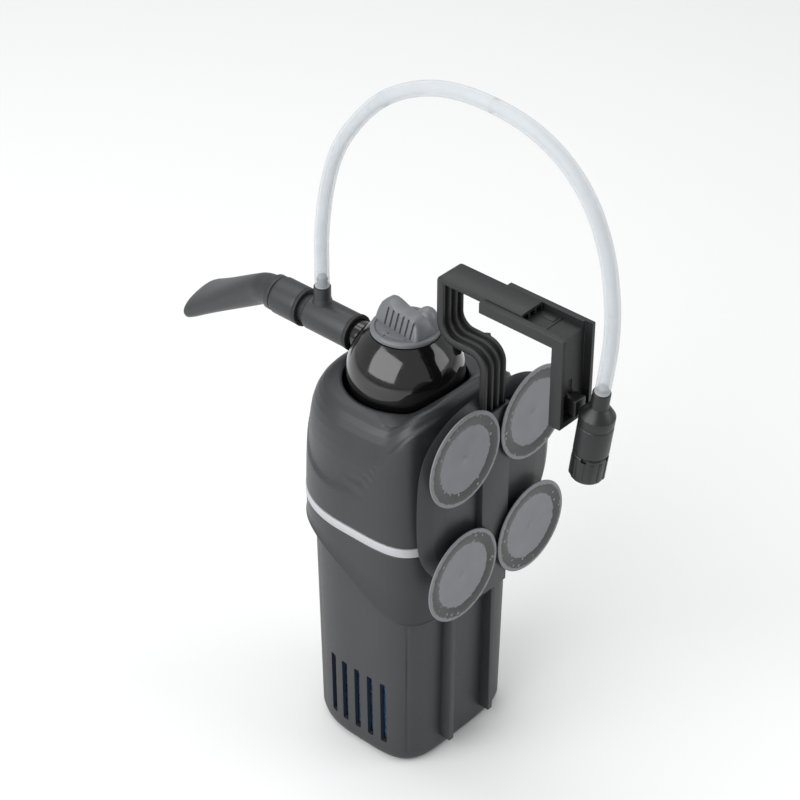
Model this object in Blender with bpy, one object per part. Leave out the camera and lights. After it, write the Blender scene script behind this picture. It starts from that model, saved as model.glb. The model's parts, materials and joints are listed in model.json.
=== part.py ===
"""Internal canister filter that hangs on the glass of an aquarium.

Frame, in metres: the origin lies on the underside of the hanger clip, where it rests on the
top edge of the glass. The glass is on the -Y side of the plane Y = 0, the tank on the +Y side,
+X runs along the glass and +Z is up. The suction cups end on the plane Y = 0.
"""
import math

import bmesh
import bpy
from mathutils import Matrix, Vector

MM = 0.001
GAP = 0.3 * MM

# Body of the filter: a rounded section, squarer on its glass side.
BODY_Y = 48.5 * MM
HALF_X = 38 * MM
HALF_FRONT = 38 * MM
HALF_BACK = 36.5 * MM
FRONT_POWER = 2.3
BACK_POWER = 4.6
SECTION_POINTS = 36
WALL = 2.2 * MM

# Heights on the body, from the top edge of the glass downwards.
RIM_Z = -53 * MM
OPENING_R = 24.6 * MM
BACK_RISE = 8.5 * MM
BAND_TOP = -103 * MM
BAND_BOTTOM = -107.5 * MM
BAND_DEPTH = 0.9 * MM
SKIRT_FRONT = -118 * MM
SKIRT_BACK = -143 * MM
CONTAINER_TOP = -106 * MM
CONTAINER_BOTTOM = -222 * MM
CONTAINER_INSET = 3.1 * MM
CONTAINER_DRAFT = 1.6 * MM

# Pump head: a ball that swivels in the top of the housing.
BALL_Y = 48.5 * MM
BALL_Z = -50 * MM
BALL_R = 23.3 * MM
BALL_WALL = 1.8 * MM
BALL_TOP = -31.4 * MM
BALL_INLET_R = 9.5 * MM
OUTLET_Z = -44.5 * MM
STUB_R = 6 * MM
STUB_BORE = 4.4 * MM
STUB_END = 79 * MM
GLAND_WAY = (math.sin(math.radians(48)), -math.cos(math.radians(48)), 0)
KNOB_R = 13.8 * MM
KNOB_DISC = 1.9 * MM
KNOB_TOP = -20 * MM
KNOB_TURN = math.radians(-7)

# Outlet train along +Y.
SLEEVE_START = 102.5 * MM
SLEEVE_END = 115.5 * MM
SLEEVE_R = 7.9 * MM
AIR_PORT_Y = 92.5 * MM
AIR_PORT_R = 3.5 * MM
AIR_PORT_TOP = -30.5 * MM
NOZZLE_LENGTH = 59 * MM
NOZZLE_BEND = math.radians(33)
NOZZLE_ROLL = math.radians(15)
MOUTH_WIDTH = 23.6 * MM
MOUTH_HEIGHT = 9 * MM

# Holder plate and suction cups.
CUP_X = 20.5 * MM
CUP_ROWS = {"upper": -58 * MM, "lower": -114 * MM}
PLATE_FACE = 4.5 * MM
PLATE_RIM = 8.2 * MM
PLATE_WALL = 1.8 * MM
PLATE_FLARE = 5.5 * MM

# Hooks on the filter's back, as lowest and highest point: a lift frees them from the T rail.
HOOK_TALL = 10 * MM
HOOKS = [(-72 * MM, -62 * MM), (-118 * MM, -108 * MM)]
LIFT = 12 * MM

# Hanger strap and clip.
STRAP_HALF = 6 * MM
STRAP_DEPTH = 3.3 * MM
STRAP_TOP = 5.5 * MM
STRAP_BACK = -12.7 * MM
STRAP_LEG = 28 * MM
STRAP_LOW = -23.5 * MM
TAIL_Y = 5.0 * MM
TAIL_END = -96 * MM
CLIP_HALF = 9.25 * MM
CLIP_FLOOR = 1.8 * MM
CLIP_TOP = 4.6 * MM
CLIP_FRONT = 5 * MM
CLIP_LEG = -29 * MM
CLIP_BOTTOM = -34 * MM
CLIP_FLANGE = 3.4 * MM

# Air valve, hanging from the clip and leaning a little towards the glass at its foot.
VALVE_AT = (0.0, -43.2 * MM, -36 * MM)
VALVE_LEAN = math.radians(7)
VALVE_R = 6.8 * MM

# Air hose, outer diameter, and the route of its centre from the tee to the valve.
HOSE_D = 6 * MM
HOSE_ROUTE = [
    (0, 92.5, -30.2), (0, 92.5, -20), (0, 92, -5), (0, 89, 15), (0, 83, 34),
    (0, 73, 50), (0, 60, 64), (0, 44, 74), (0, 27, 79.5), (0, 8, 80.5),
    (0, -10, 77.5), (0, -25, 70), (0, -36.5, 58), (0, -44, 42), (0, -47.7, 24),
    (0, -48.4, 8), (0, -47, -7), (0, -45.72, -15.9),
]


# --------------------------------------------------------------------------- helpers

def clear_scene():
    """Remove every object, so that the script starts from nothing."""
    for old in list(bpy.data.objects):
        bpy.data.objects.remove(old, do_unlink=True)


def linear(hex_colour):
    """A Principled base colour from an sRGB hex string."""
    channels = [int(hex_colour[i:i + 2], 16) / 255 for i in (0, 2, 4)]
    return [c / 12.92 if c <= 0.04045 else ((c + 0.055) / 1.055) ** 2.4 for c in channels] + [1]


def finish_material(name, hex_colour, roughness, metallic=0.0):
    """One Principled material."""
    mat = bpy.data.materials.new(name)
    mat.use_nodes = True
    shader = mat.node_tree.nodes["Principled BSDF"]
    shader.inputs["Base Color"].default_value = linear(hex_colour)
    shader.inputs["Roughness"].default_value = roughness
    shader.inputs["Metallic"].default_value = metallic
    return mat


def add_object(name, bm, mat, origin=(0, 0, 0), smooth=True):
    """Link the mesh as an object whose origin is at the given world point."""
    bmesh.ops.remove_doubles(bm, verts=bm.verts, dist=1e-7)
    bmesh.ops.recalc_face_normals(bm, faces=bm.faces)
    bmesh.ops.translate(bm, verts=bm.verts, vec=-Vector(origin))
    mesh = bpy.data.meshes.new(name)
    bm.to_mesh(mesh)
    bm.free()
    mesh.materials.append(mat)
    if smooth:
        mesh.shade_smooth()
        mesh.set_sharp_from_angle(angle=math.radians(35))
    obj = bpy.data.objects.new(name, mesh)
    obj.location = origin
    bpy.context.scene.collection.objects.link(obj)
    return obj


def boolean(target, tool, operation):
    """Cut the tool from the target, or join it on, and keep the tool as a hidden guide."""
    tool.hide_render = True
    tool.display_type = 'WIRE'
    mod = target.modifiers.new(tool.name, 'BOOLEAN')
    mod.operation = operation
    mod.solver = 'EXACT'
    mod.object = tool


def ring_solid(rings, closed=False):
    """A solid skin over a stack of equal rings, capped at both ends or closed on itself."""
    bm = bmesh.new()
    loops = [[bm.verts.new(point) for point in ring] for ring in rings]
    count = len(loops[0])
    pairs = list(zip(loops, loops[1:]))
    if closed:
        pairs.append((loops[-1], loops[0]))
    for low, high in pairs:
        for i in range(count):
            j = (i + 1) % count
            bm.faces.new((low[i], low[j], high[j], high[i]))
    if not closed:
        bm.faces.new(loops[0])
        bm.faces.new(list(reversed(loops[-1])))
    return bm


def turned(profile, segments=28):
    """Turn a closed profile of (radius, height) points about the Z axis."""
    bm = bmesh.new()
    points = [bm.verts.new((radius, 0, height)) for radius, height in profile]
    edges = [bm.edges.new((points[i], points[(i + 1) % len(points)])) for i in range(len(points))]
    bmesh.ops.spin(bm, geom=points + edges, cent=(0, 0, 0), axis=(0, 0, 1),
                   angle=math.tau, steps=segments, use_duplicate=False)
    bmesh.ops.remove_doubles(bm, verts=bm.verts, dist=1e-7)
    return bm


def block(low, high, bevel=0.0):
    """A box from its two corners, with its edges bevelled if asked."""
    bm = bmesh.new()
    size = [high[i] - low[i] for i in range(3)]
    centre = [(high[i] + low[i]) / 2 for i in range(3)]
    bmesh.ops.create_cube(bm, size=1)
    bmesh.ops.scale(bm, vec=size, verts=bm.verts)
    bmesh.ops.translate(bm, vec=centre, verts=bm.verts)
    if bevel:
        bmesh.ops.bevel(bm, geom=bm.edges, offset=bevel, segments=1, affect='EDGES')
    return bm


def joined(meshes):
    """Several loose meshes in one, for a cutter of many equal tools."""
    whole = bmesh.new()
    for part in meshes:
        temp = bpy.data.meshes.new("temp")
        part.to_mesh(temp)
        part.free()
        whole.from_mesh(temp)
        bpy.data.meshes.remove(temp)
    return whole


def extruded(outline, vector):
    """A prism: the outline's face pushed along the vector."""
    bm = bmesh.new()
    face = bm.faces.new([bm.verts.new(point) for point in outline])
    pushed = bmesh.ops.extrude_face_region(bm, geom=[face])
    moved = [item for item in pushed["geom"] if isinstance(item, bmesh.types.BMVert)]
    bmesh.ops.translate(bm, verts=moved, vec=vector)
    return bm


def turned_on(profile, at, toward, segments=28):
    """Turn a profile about an axis through a point; heights run along the axis."""
    bm = turned(profile, segments)
    spin = Vector((0, 0, 1)).rotation_difference(Vector(toward)).to_matrix().to_4x4()
    bmesh.ops.transform(bm, matrix=Matrix.Translation(at) @ spin, verts=bm.verts)
    return bm


def tube_profile(outer, inner, start, end):
    """The closed profile of a plain ring."""
    return [(outer, end), (outer, start), (inner, start), (inner, end)]


def rod_profile(radius, start, end):
    """The closed profile of a plain rod."""
    return [(0, end), (radius, end), (radius, start), (0, start)]


def smooth_route(points, spacing):
    """Points at an even spacing on a Catmull-Rom curve through the route's own points."""
    route = [Vector(p) * MM for p in points]
    ends = [2 * route[0] - route[1]] + route + [2 * route[-1] - route[-2]]
    fine = []
    for i in range(1, len(ends) - 2):
        a, b, c, d = ends[i - 1:i + 3]
        for step in range(24):
            t = step / 24
            fine.append(0.5 * (2 * b + (c - a) * t + (2 * a - 5 * b + 4 * c - d) * t * t
                               + (3 * b - a - 3 * c + d) * t ** 3))
    fine.append(route[-1])
    total = sum((q - p).length for p, q in zip(fine, fine[1:]))
    count = round(total / spacing)
    result = [fine[0]]
    run = 0.0
    for p, q in zip(fine, fine[1:]):
        length = (q - p).length
        while len(result) < count and run + length >= len(result) * total / count:
            result.append(p.lerp(q, (len(result) * total / count - run) / length))
        run += length
    result.append(fine[-1])
    return result


def smoothstep(value):
    """0 below 0, 1 above 1, and a soft slope between."""
    t = min(max(value, 0.0), 1.0)
    return t * t * (3 - 2 * t)


def skirt_edge(y):
    """The housing's lower edge: high at the front and low on the glass side."""
    return SKIRT_FRONT + (SKIRT_BACK - SKIRT_FRONT) * smoothstep((72 * MM - y) / (60 * MM))


def back_lift(y, z):
    """How far the top of the housing rises on the glass side."""
    reach = smoothstep((32 * MM - y) / (14 * MM))
    return BACK_RISE * reach * smoothstep((z + 80 * MM) / (22 * MM))


def body_ring(inset, height, lifted=False):
    """One ring of the body's section, inset from its outer surface, at a height."""
    ring = []
    for i in range(SECTION_POINTS):
        angle = math.tau * i / SECTION_POINTS
        c, s = math.cos(angle), math.sin(angle)
        power = 2 / (FRONT_POWER if s > 0 else BACK_POWER)
        depth = (HALF_FRONT if s > 0 else HALF_BACK) - inset
        x = (HALF_X - inset) * math.copysign(abs(c) ** power, c)
        y = BODY_Y + depth * math.copysign(abs(s) ** power, s)
        z = height(y) if callable(height) else height
        ring.append(Vector((x, y, z + (back_lift(y, z) if lifted else 0))))
    return ring


def socket_circle(radius, height, lifted=False):
    """A ring about the ball's axis with as many points as the body's section."""
    ring = []
    for i in range(SECTION_POINTS):
        angle = math.tau * i / SECTION_POINTS
        x, y = radius * math.cos(angle), BALL_Y + radius * math.sin(angle)
        ring.append(Vector((x, y, height + (back_lift(y, height) if lifted else 0))))
    return ring


# --------------------------------------------------------------------------- holder and cups

def plate_outline(flare, y):
    """The holder plate's outline, drawn in by the flare, at a depth."""
    half = [(0, -41), (13, -41), (24, -44), (33, -50), (37.5, -57.5), (39.3, -70), (39.3, -92),
            (36.8, -103), (30.5, -113), (14, -134.5), (8, -137), (0, -137)]
    points = [(x, z) for x, z in half] + [(-x, z) for x, z in reversed(half[1:-1])]
    cut = []
    for (ax, az), (bx, bz) in zip(points, points[1:] + points[:1]):
        cut.append((0.75 * ax + 0.25 * bx, 0.75 * az + 0.25 * bz))
        cut.append((0.25 * ax + 0.75 * bx, 0.25 * az + 0.75 * bz))
    middle, half_x, half_z = -89 * MM, 39.3 * MM, 48 * MM
    return [Vector((x * MM * (1 - flare / half_x), y,
                    middle + (z * MM - middle) * (1 - flare / half_z))) for x, z in cut]


def make_holder(mats):
    """Dished plate with cup bosses, a pocket for the strap's tail and a T rail for the filter."""
    back = PLATE_FACE + PLATE_WALL
    rings = [plate_outline(PLATE_FLARE + 0.6 * MM, back), plate_outline(PLATE_WALL, PLATE_RIM),
             plate_outline(0, PLATE_RIM), plate_outline(PLATE_FLARE, PLATE_FACE)]
    plate = add_object("holder_plate", ring_solid(rings), mats["plate"])
    bosses = joined([turned_on(rod_profile(7 * MM, 0, PLATE_WALL), (x, PLATE_FACE, z), (0, 1, 0), 20)
                     for x in (-CUP_X, CUP_X) for z in CUP_ROWS.values()])
    boolean(plate, add_object("boss_tool", bosses, mats["plate"]), 'UNION')
    pocket_wall = 1.5 * MM
    tail_front, tail_back = TAIL_Y - STRAP_DEPTH / 2, TAIL_Y + STRAP_DEPTH / 2
    half = STRAP_HALF + 0.4 * MM
    sleeve = block((-half - pocket_wall, tail_front - 1.45 * MM, -134 * MM),
                   (half + pocket_wall, tail_back + 2.15 * MM, -47 * MM))
    boolean(plate, add_object("sleeve_tool", sleeve, mats["plate"]), 'UNION')
    flange = block((-10.7 * MM, tail_back + 2 * MM, -132 * MM), (10.7 * MM, 10.4 * MM, -62 * MM))
    boolean(plate, add_object("flange_tool", flange, mats["plate"]), 'UNION')
    notch_low, notch_high = HOOKS[1][1] + LIFT - 1.3 * MM - HOOK_TALL, HOOKS[1][1] + LIFT + 1.3 * MM
    notches = joined([block((min(side * 8.1, side * 12) * MM, 8.7 * MM, notch_low),
                            (max(side * 8.1, side * 12) * MM, 12 * MM, notch_high))
                      for side in (-1, 1)])
    boolean(plate, add_object("notch_tool", notches, mats["plate"]), 'DIFFERENCE')
    pocket = block((-half, tail_front - GAP, -98.5 * MM), (half, tail_back + GAP, -39 * MM))
    boolean(plate, add_object("pocket_tool", pocket, mats["plate"]), 'DIFFERENCE')
    mouth = block((-half, 0, -47 * MM), (half, tail_back + 2.5 * MM, -38 * MM))
    boolean(plate, add_object("mouth_tool", mouth, mats["plate"]), 'DIFFERENCE')
    holes = joined([turned_on(rod_profile(3.9 * MM, -2 * MM, 5 * MM), (x, PLATE_FACE, z), (0, 1, 0), 16)
                    for x in (-CUP_X, CUP_X) for z in CUP_ROWS.values()])
    boolean(plate, add_object("cup_hole_tool", holes, mats["plate"]), 'DIFFERENCE')
    rooms = joined([turned_on(rod_profile(5.6 * MM, PLATE_WALL, 9 * MM), (x, PLATE_FACE, z), (0, 1, 0), 16)
                    for x in (-CUP_X, CUP_X) for z in CUP_ROWS.values()])
    boolean(plate, add_object("button_room_tool", rooms, mats["plate"]), 'DIFFERENCE')


def make_cups(mats):
    """Four rubber cups, each with a flat contact ring, a dished middle and a button stem."""
    profile = [(20, 0), (20, 0.7), (12, 1.6), (7.5, 4.2), (3.4, 4.2), (3.4, 6.7), (5, 6.9),
               (5, 8.3), (3.6, 9.2), (0, 9.2), (0, 0.9), (12.5, 0.6), (16.3, 0)]
    profile = [(r * MM, h * MM) for r, h in profile]
    for row, z in CUP_ROWS.items():
        for side, x in (("left", -CUP_X), ("right", CUP_X)):
            cup = turned_on(profile, (x, 0, z), (0, 1, 0), 24)
            add_object(f"suction_cup_{row}_{side}", cup, mats["rubber"], (x, 0, z))


# --------------------------------------------------------------------------- hanger

def strap_section():
    """Half-width and depth of the ribbed strap: a web with four ribs on its inner side."""
    full, web = STRAP_DEPTH, 1.2 * MM
    ribs = [(STRAP_HALF, 4.9 * MM), (2.35 * MM, 1.25 * MM)]
    right = []
    for outer, inner in ribs:
        right += [(outer, full), (inner, full), (inner, web)]
        if inner > 2 * MM:
            right.append((ribs[1][0], web))
    left = [(-x, depth) for x, depth in reversed(right)]
    return [(-STRAP_HALF, 0), (STRAP_HALF, 0)] + right + left


def strap_path():
    """The strap's outer line in Y and Z: along the top, down, back and down the tail."""
    def arc(cy, cz, radius, start, end, steps):
        turns = [math.radians(start + (end - start) * i / steps) for i in range(steps + 1)]
        return [(cy + radius * math.cos(t), cz + radius * math.sin(t)) for t in turns]

    tail = TAIL_Y + STRAP_DEPTH / 2
    bend = 5 * MM
    return ([(STRAP_BACK, STRAP_TOP)]
            + arc(STRAP_LEG - 3 * MM, STRAP_TOP - 3 * MM, 3 * MM, 90, 0, 3)
            + arc(STRAP_LEG - 9 * MM, STRAP_LOW + 9 * MM, 9 * MM, 0, -90, 5)
            + arc(tail + bend, STRAP_LOW - bend, bend, 90, 180, 5)
            + [(tail, TAIL_END)])


def make_strap(mats):
    """The C-shaped ribbed strap that goes over the glass edge into the holder."""
    path = [Vector((0, y, z)) for y, z in strap_path()]
    rings = []
    for i, point in enumerate(path):
        before = path[max(i - 1, 0)]
        after = path[min(i + 1, len(path) - 1)]
        along = (after - before).normalized()
        inward = Vector((0, along.z, -along.y))
        rings.append([point + Vector((x, 0, 0)) + inward * depth for x, depth in strap_section()])
    add_object("hanger_strap", ring_solid(rings), mats["bracket"], smooth=False)


def make_clip(mats):
    """Sliding clip: an open channel over the glass edge and a slotted leg down its outside."""
    leg_back = CLIP_LEG - 2 * MM
    leg_wall = 1.75 * MM
    clip = add_object("hanger_clip",
                      block((-CLIP_HALF, leg_back, 0), (CLIP_HALF, CLIP_FRONT, CLIP_TOP)),
                      mats["bracket"], smooth=False)
    leg = block((-CLIP_HALF, leg_back - CLIP_FLANGE, CLIP_BOTTOM), (CLIP_HALF, CLIP_LEG, CLIP_TOP))
    boolean(clip, add_object("leg_tool", leg, mats["bracket"]), 'UNION')
    groove_half = STRAP_HALF + 0.4 * MM
    groove = block((-groove_half, -50 * MM, CLIP_FLOOR), (groove_half, 10 * MM, 10 * MM))
    boolean(clip, add_object("groove_tool", groove, mats["bracket"]), 'DIFFERENCE')
    recess = block((-CLIP_HALF + leg_wall, -50 * MM, CLIP_BOTTOM + 2.5 * MM),
                   (CLIP_HALF - leg_wall, leg_back, 10 * MM))
    boolean(clip, add_object("recess_tool", recess, mats["bracket"]), 'DIFFERENCE')
    slot = block((-1.2 * MM, -40 * MM, -30.5 * MM), (1.3 * MM, -20 * MM, -17.5 * MM))
    boolean(clip, add_object("slot_tool", slot, mats["bracket"]), 'DIFFERENCE')


def make_valve(mats):
    """Air regulating valve: arm into the clip's slot, body with a hose nipple, cap and needle."""
    axis = Vector((0, -math.sin(VALVE_LEAN), math.cos(VALVE_LEAN)))
    arm = add_object("valve_clip_arm",
                     block((-3 * MM, -36.5 * MM, -30.3 * MM), (3 * MM, -31.4 * MM, -23.5 * MM),
                           0.5 * MM), mats["valve"], smooth=False)
    neck = block((-0.85 * MM, -32 * MM, -29.8 * MM), (0.95 * MM, -28 * MM, -24 * MM))
    boolean(arm, add_object("neck_tool", neck, mats["valve"]), 'UNION')
    body = [(1.5, 20.1), (3.5, 20.1), (3.5, 13.5), (4.6, 12.6), (VALVE_R / MM, 9.6),
            (VALVE_R / MM, -7.6), (4.4, -7.6), (4.4, 4), (1.5, 7)]
    cap = [(0, -20), (6.2, -20), (6.9, -19), (6.9, -8), (4, -8), (4, -2), (0, -2)]
    needle = [(0, 6), (0.7, 5.6), (1.2, -1.7), (0, -1.7)]
    for name, profile in (("valve_body", body), ("valve_cap", cap), ("valve_needle", needle)):
        points = [(r * MM, h * MM) for r, h in profile]
        add_object(name, turned_on(points, VALVE_AT, axis, 24), mats["valve"], VALVE_AT)


# --------------------------------------------------------------------------- filter body

def make_housing(mats):
    """Upper housing: a soft-shouldered shell with a round opening, a band groove and T guides."""
    outer = [(0, skirt_edge), (0, BAND_BOTTOM), (BAND_DEPTH, BAND_BOTTOM), (BAND_DEPTH, BAND_TOP),
             (0, BAND_TOP), (0.3 * MM, -90 * MM), (1.3 * MM, -73 * MM), (2.8 * MM, -64 * MM),
             (5.6 * MM, -57.5 * MM), (9 * MM, -54.2 * MM)]
    inner = [(7.8 * MM, -60.2 * MM), (5 * MM, -66 * MM), (3.6 * MM, -74 * MM),
             (2.6 * MM, -92 * MM), (2.6 * MM, -110 * MM), (WALL, skirt_edge)]
    rings = [body_ring(inset, height, lifted=True) for inset, height in outer]
    rings += [socket_circle(OPENING_R + 1.2 * MM, RIM_Z, lifted=True),
              socket_circle(OPENING_R, RIM_Z - 1.2 * MM, lifted=True),
              socket_circle(OPENING_R + 0.6 * MM, RIM_Z - 3.2 * MM, lifted=True)]
    rings += [body_ring(inset, height, lifted=True) for inset, height in inner]
    housing = add_object("upper_housing", ring_solid(rings, closed=True), mats["housing"])
    back = BODY_Y - HALF_BACK + 0.4 * MM
    for side in (-1, 1):
        rail = block((min(side * 11.1, side * 13.6) * MM, 6.9 * MM, -121 * MM),
                     (max(side * 11.1, side * 13.6) * MM, back, HOOKS[0][1]))
        boolean(housing, add_object(f"rail_tool_{side}", rail, mats["housing"]), 'UNION')
        for row, (low, high) in enumerate(HOOKS):
            hook = block((min(side * 8.4, side * 11.5) * MM, 6.9 * MM, low),
                         (max(side * 8.4, side * 11.5) * MM, 8.5 * MM, high))
            boolean(housing, add_object(f"hook_tool_{side}_{row}", hook, mats["housing"]), 'UNION')
    stop = block((-13.6 * MM, 9.1 * MM, -61.7 * MM), (13.6 * MM, back + 1 * MM, -58.5 * MM))
    boolean(housing, add_object("stop_tool", stop, mats["housing"]), 'UNION')
    web = block((-13.6 * MM, 10.9 * MM, -66 * MM), (13.6 * MM, back, -60 * MM))
    boolean(housing, add_object("stop_web_tool", web, mats["housing"]), 'UNION')


def make_band(mats):
    """Light ring in the groove round the housing, open where the guides run down its back."""
    low, high = BAND_BOTTOM + GAP, BAND_TOP - GAP
    proud = -0.25 * MM
    rings = [body_ring(proud, low), body_ring(proud, high),
             body_ring(BAND_DEPTH - GAP, high), body_ring(BAND_DEPTH - GAP, low)]
    band = add_object("band_ring", ring_solid(rings, closed=True), mats["band"])
    guides = block((-14 * MM, 5 * MM, BAND_BOTTOM - MM), (14 * MM, 14 * MM, BAND_TOP + MM))
    boolean(band, add_object("guide_gap_tool", guides, mats["band"]), 'DIFFERENCE')


def make_socket(mats):
    """Bulkhead under the ball: a cover over the container and a funnel with a seat."""
    at = Vector((0, BALL_Y, 0))
    funnel = [(21.6, -100), (21.6, -65.2), (18.6, -65.2), (12, -71.4), (12, -103)]
    rings = [body_ring(3.2 * MM, -103 * MM), body_ring(3.2 * MM, -100 * MM)]
    rings += [socket_circle(radius * MM, height * MM) for radius, height in funnel]
    add_object("ball_socket", ring_solid(rings, closed=True), mats["inner"])
    seal = [(20.3, -62.6), (21.6, -62.6), (21.6, -64.9), (19.9, -64.9)]
    add_object("head_seal", turned_on([(r * MM, z * MM) for r, z in seal], at, (0, 0, 1), 32),
               mats["rubber"])
    low, high = CONTAINER_TOP + GAP, -103.3 * MM
    rings = [body_ring(3.2 * MM, low), body_ring(3.2 * MM, high),
             body_ring(5.4 * MM, high), body_ring(5.4 * MM, low)]
    add_object("container_seal", ring_solid(rings, closed=True), mats["rubber"])


def container_ring(extra, z):
    """A ring of the container, which tapers a little towards its foot."""
    fall = (CONTAINER_TOP - z) / (CONTAINER_TOP - CONTAINER_BOTTOM)
    return body_ring(CONTAINER_INSET + CONTAINER_DRAFT * fall + extra, z)


def make_container(mats):
    """Canister, open at the top, with intake slots low on both sides and flutes at the back."""
    wall = 2 * MM
    foot = CONTAINER_BOTTOM
    rings = [container_ring(4 * MM, foot), container_ring(1.2 * MM, foot + 1.2 * MM),
             container_ring(0, foot + 4 * MM), container_ring(0, CONTAINER_TOP),
             container_ring(wall, CONTAINER_TOP), container_ring(wall, foot + 5 * MM),
             container_ring(4.5 * MM, foot + 2.2 * MM)]
    shell = add_object("container", ring_solid(rings), mats["container"])
    slots = joined([block((-60 * MM, y * MM - 1.5 * MM, -213 * MM), (60 * MM, y * MM + 1.5 * MM, -181 * MM))
                    for y in (31, 38, 45, 52, 59)])
    boolean(shell, add_object("intake_tool", slots, mats["container"]), 'DIFFERENCE')
    for x in (-12.4, 12.4):
        flute = block((x * MM - 1.3 * MM, 11.6 * MM, -214 * MM), (x * MM + 1.3 * MM, 17 * MM, -146 * MM))
        boolean(shell, add_object(f"flute_tool_{x}", flute, mats["container"]), 'UNION')


def make_media(mats):
    """What the canister holds: a basket with its granules above a block of filter foam."""
    wall = 1.2 * MM
    rings = [container_ring(3 * MM, -150 * MM), container_ring(3 * MM, -109 * MM),
             container_ring(3 * MM + wall, -109 * MM), container_ring(3 * MM + wall, -148.6 * MM)]
    basket = add_object("media_basket", ring_solid(rings), mats["basket"])
    holes = joined([block((x * MM - 2 * MM, y * MM - 2 * MM, -152 * MM),
                          (x * MM + 2 * MM, y * MM + 2 * MM, -147 * MM))
                    for x in (-18, -6, 6, 18) for y in (28, 42, 56, 70)])
    boolean(basket, add_object("floor_hole_tool", holes, mats["basket"]), 'DIFFERENCE')
    rings = [container_ring(4.8 * MM, -148 * MM), container_ring(4.8 * MM, -115 * MM)]
    add_object("media_fill", ring_solid(rings), mats["media"])
    rings = [container_ring(2.8 * MM, -214 * MM), container_ring(2.8 * MM, -151 * MM)]
    add_object("foam_block", ring_solid(rings), mats["foam"], smooth=False)


# --------------------------------------------------------------------------- pump head

def arc_profile(radius, top, bottom, steps):
    """Points down a sphere's side, from one height to another, as radius and height."""
    high, low = math.asin(top / radius), math.asin(bottom / radius)
    angles = [high + (low - high) * i / steps for i in range(steps + 1)]
    return [(radius * math.cos(t), BALL_Z + radius * math.sin(t)) for t in angles]


def make_ball(mats):
    """Hollow ball with an outlet stub, an inlet below and a hole for the flow gate's stem."""
    hole_r = 5.2 * MM
    inner_r = BALL_R - BALL_WALL
    outer_low = -math.sqrt(BALL_R ** 2 - BALL_INLET_R ** 2)
    inner_low = -math.sqrt(inner_r ** 2 - BALL_INLET_R ** 2)
    outer = arc_profile(BALL_R, BALL_TOP - BALL_Z, outer_low, 8)
    inner = arc_profile(inner_r, BALL_TOP - BALL_WALL - BALL_Z, inner_low, 5)
    profile = ([(hole_r, BALL_TOP)] + outer + list(reversed(inner))
               + [(hole_r, BALL_TOP - BALL_WALL)])
    axis_foot = (0, BALL_Y, 0)
    ball = add_object("pump_ball", turned_on(profile, axis_foot, (0, 0, 1), 28), mats["ball"],
                      (0, BALL_Y, BALL_Z))
    at = (0, 0, OUTLET_Z)
    stub = turned_on(rod_profile(STUB_R, BALL_Y + 19.5 * MM, STUB_END), at, (0, 1, 0), 20)
    boolean(ball, add_object("stub_tool", stub, mats["ball"]), 'UNION')
    bore = turned_on(rod_profile(STUB_BORE, BALL_Y + 12 * MM, STUB_END + 2 * MM), at, (0, 1, 0), 20)
    boolean(ball, add_object("bore_tool", bore, mats["ball"]), 'DIFFERENCE')
    gland_at = (0, BALL_Y, BALL_Z + 11.5 * MM)
    port = turned_on(rod_profile(3.5 * MM, 12 * MM, 27 * MM), gland_at, GLAND_WAY, 16)
    boolean(ball, add_object("gland_hole_tool", port, mats["ball"]), 'DIFFERENCE')
    gland = [(1.6, 33), (2.7, 33), (4.1, 24.6), (4.1, 23.4), (3.2, 23), (3.2, 17), (1.6, 17)]
    points = [(r * MM, h * MM) for r, h in gland]
    add_object("cable_gland", turned_on(points, gland_at, GLAND_WAY, 16), mats["rubber"], gland_at)


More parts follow.
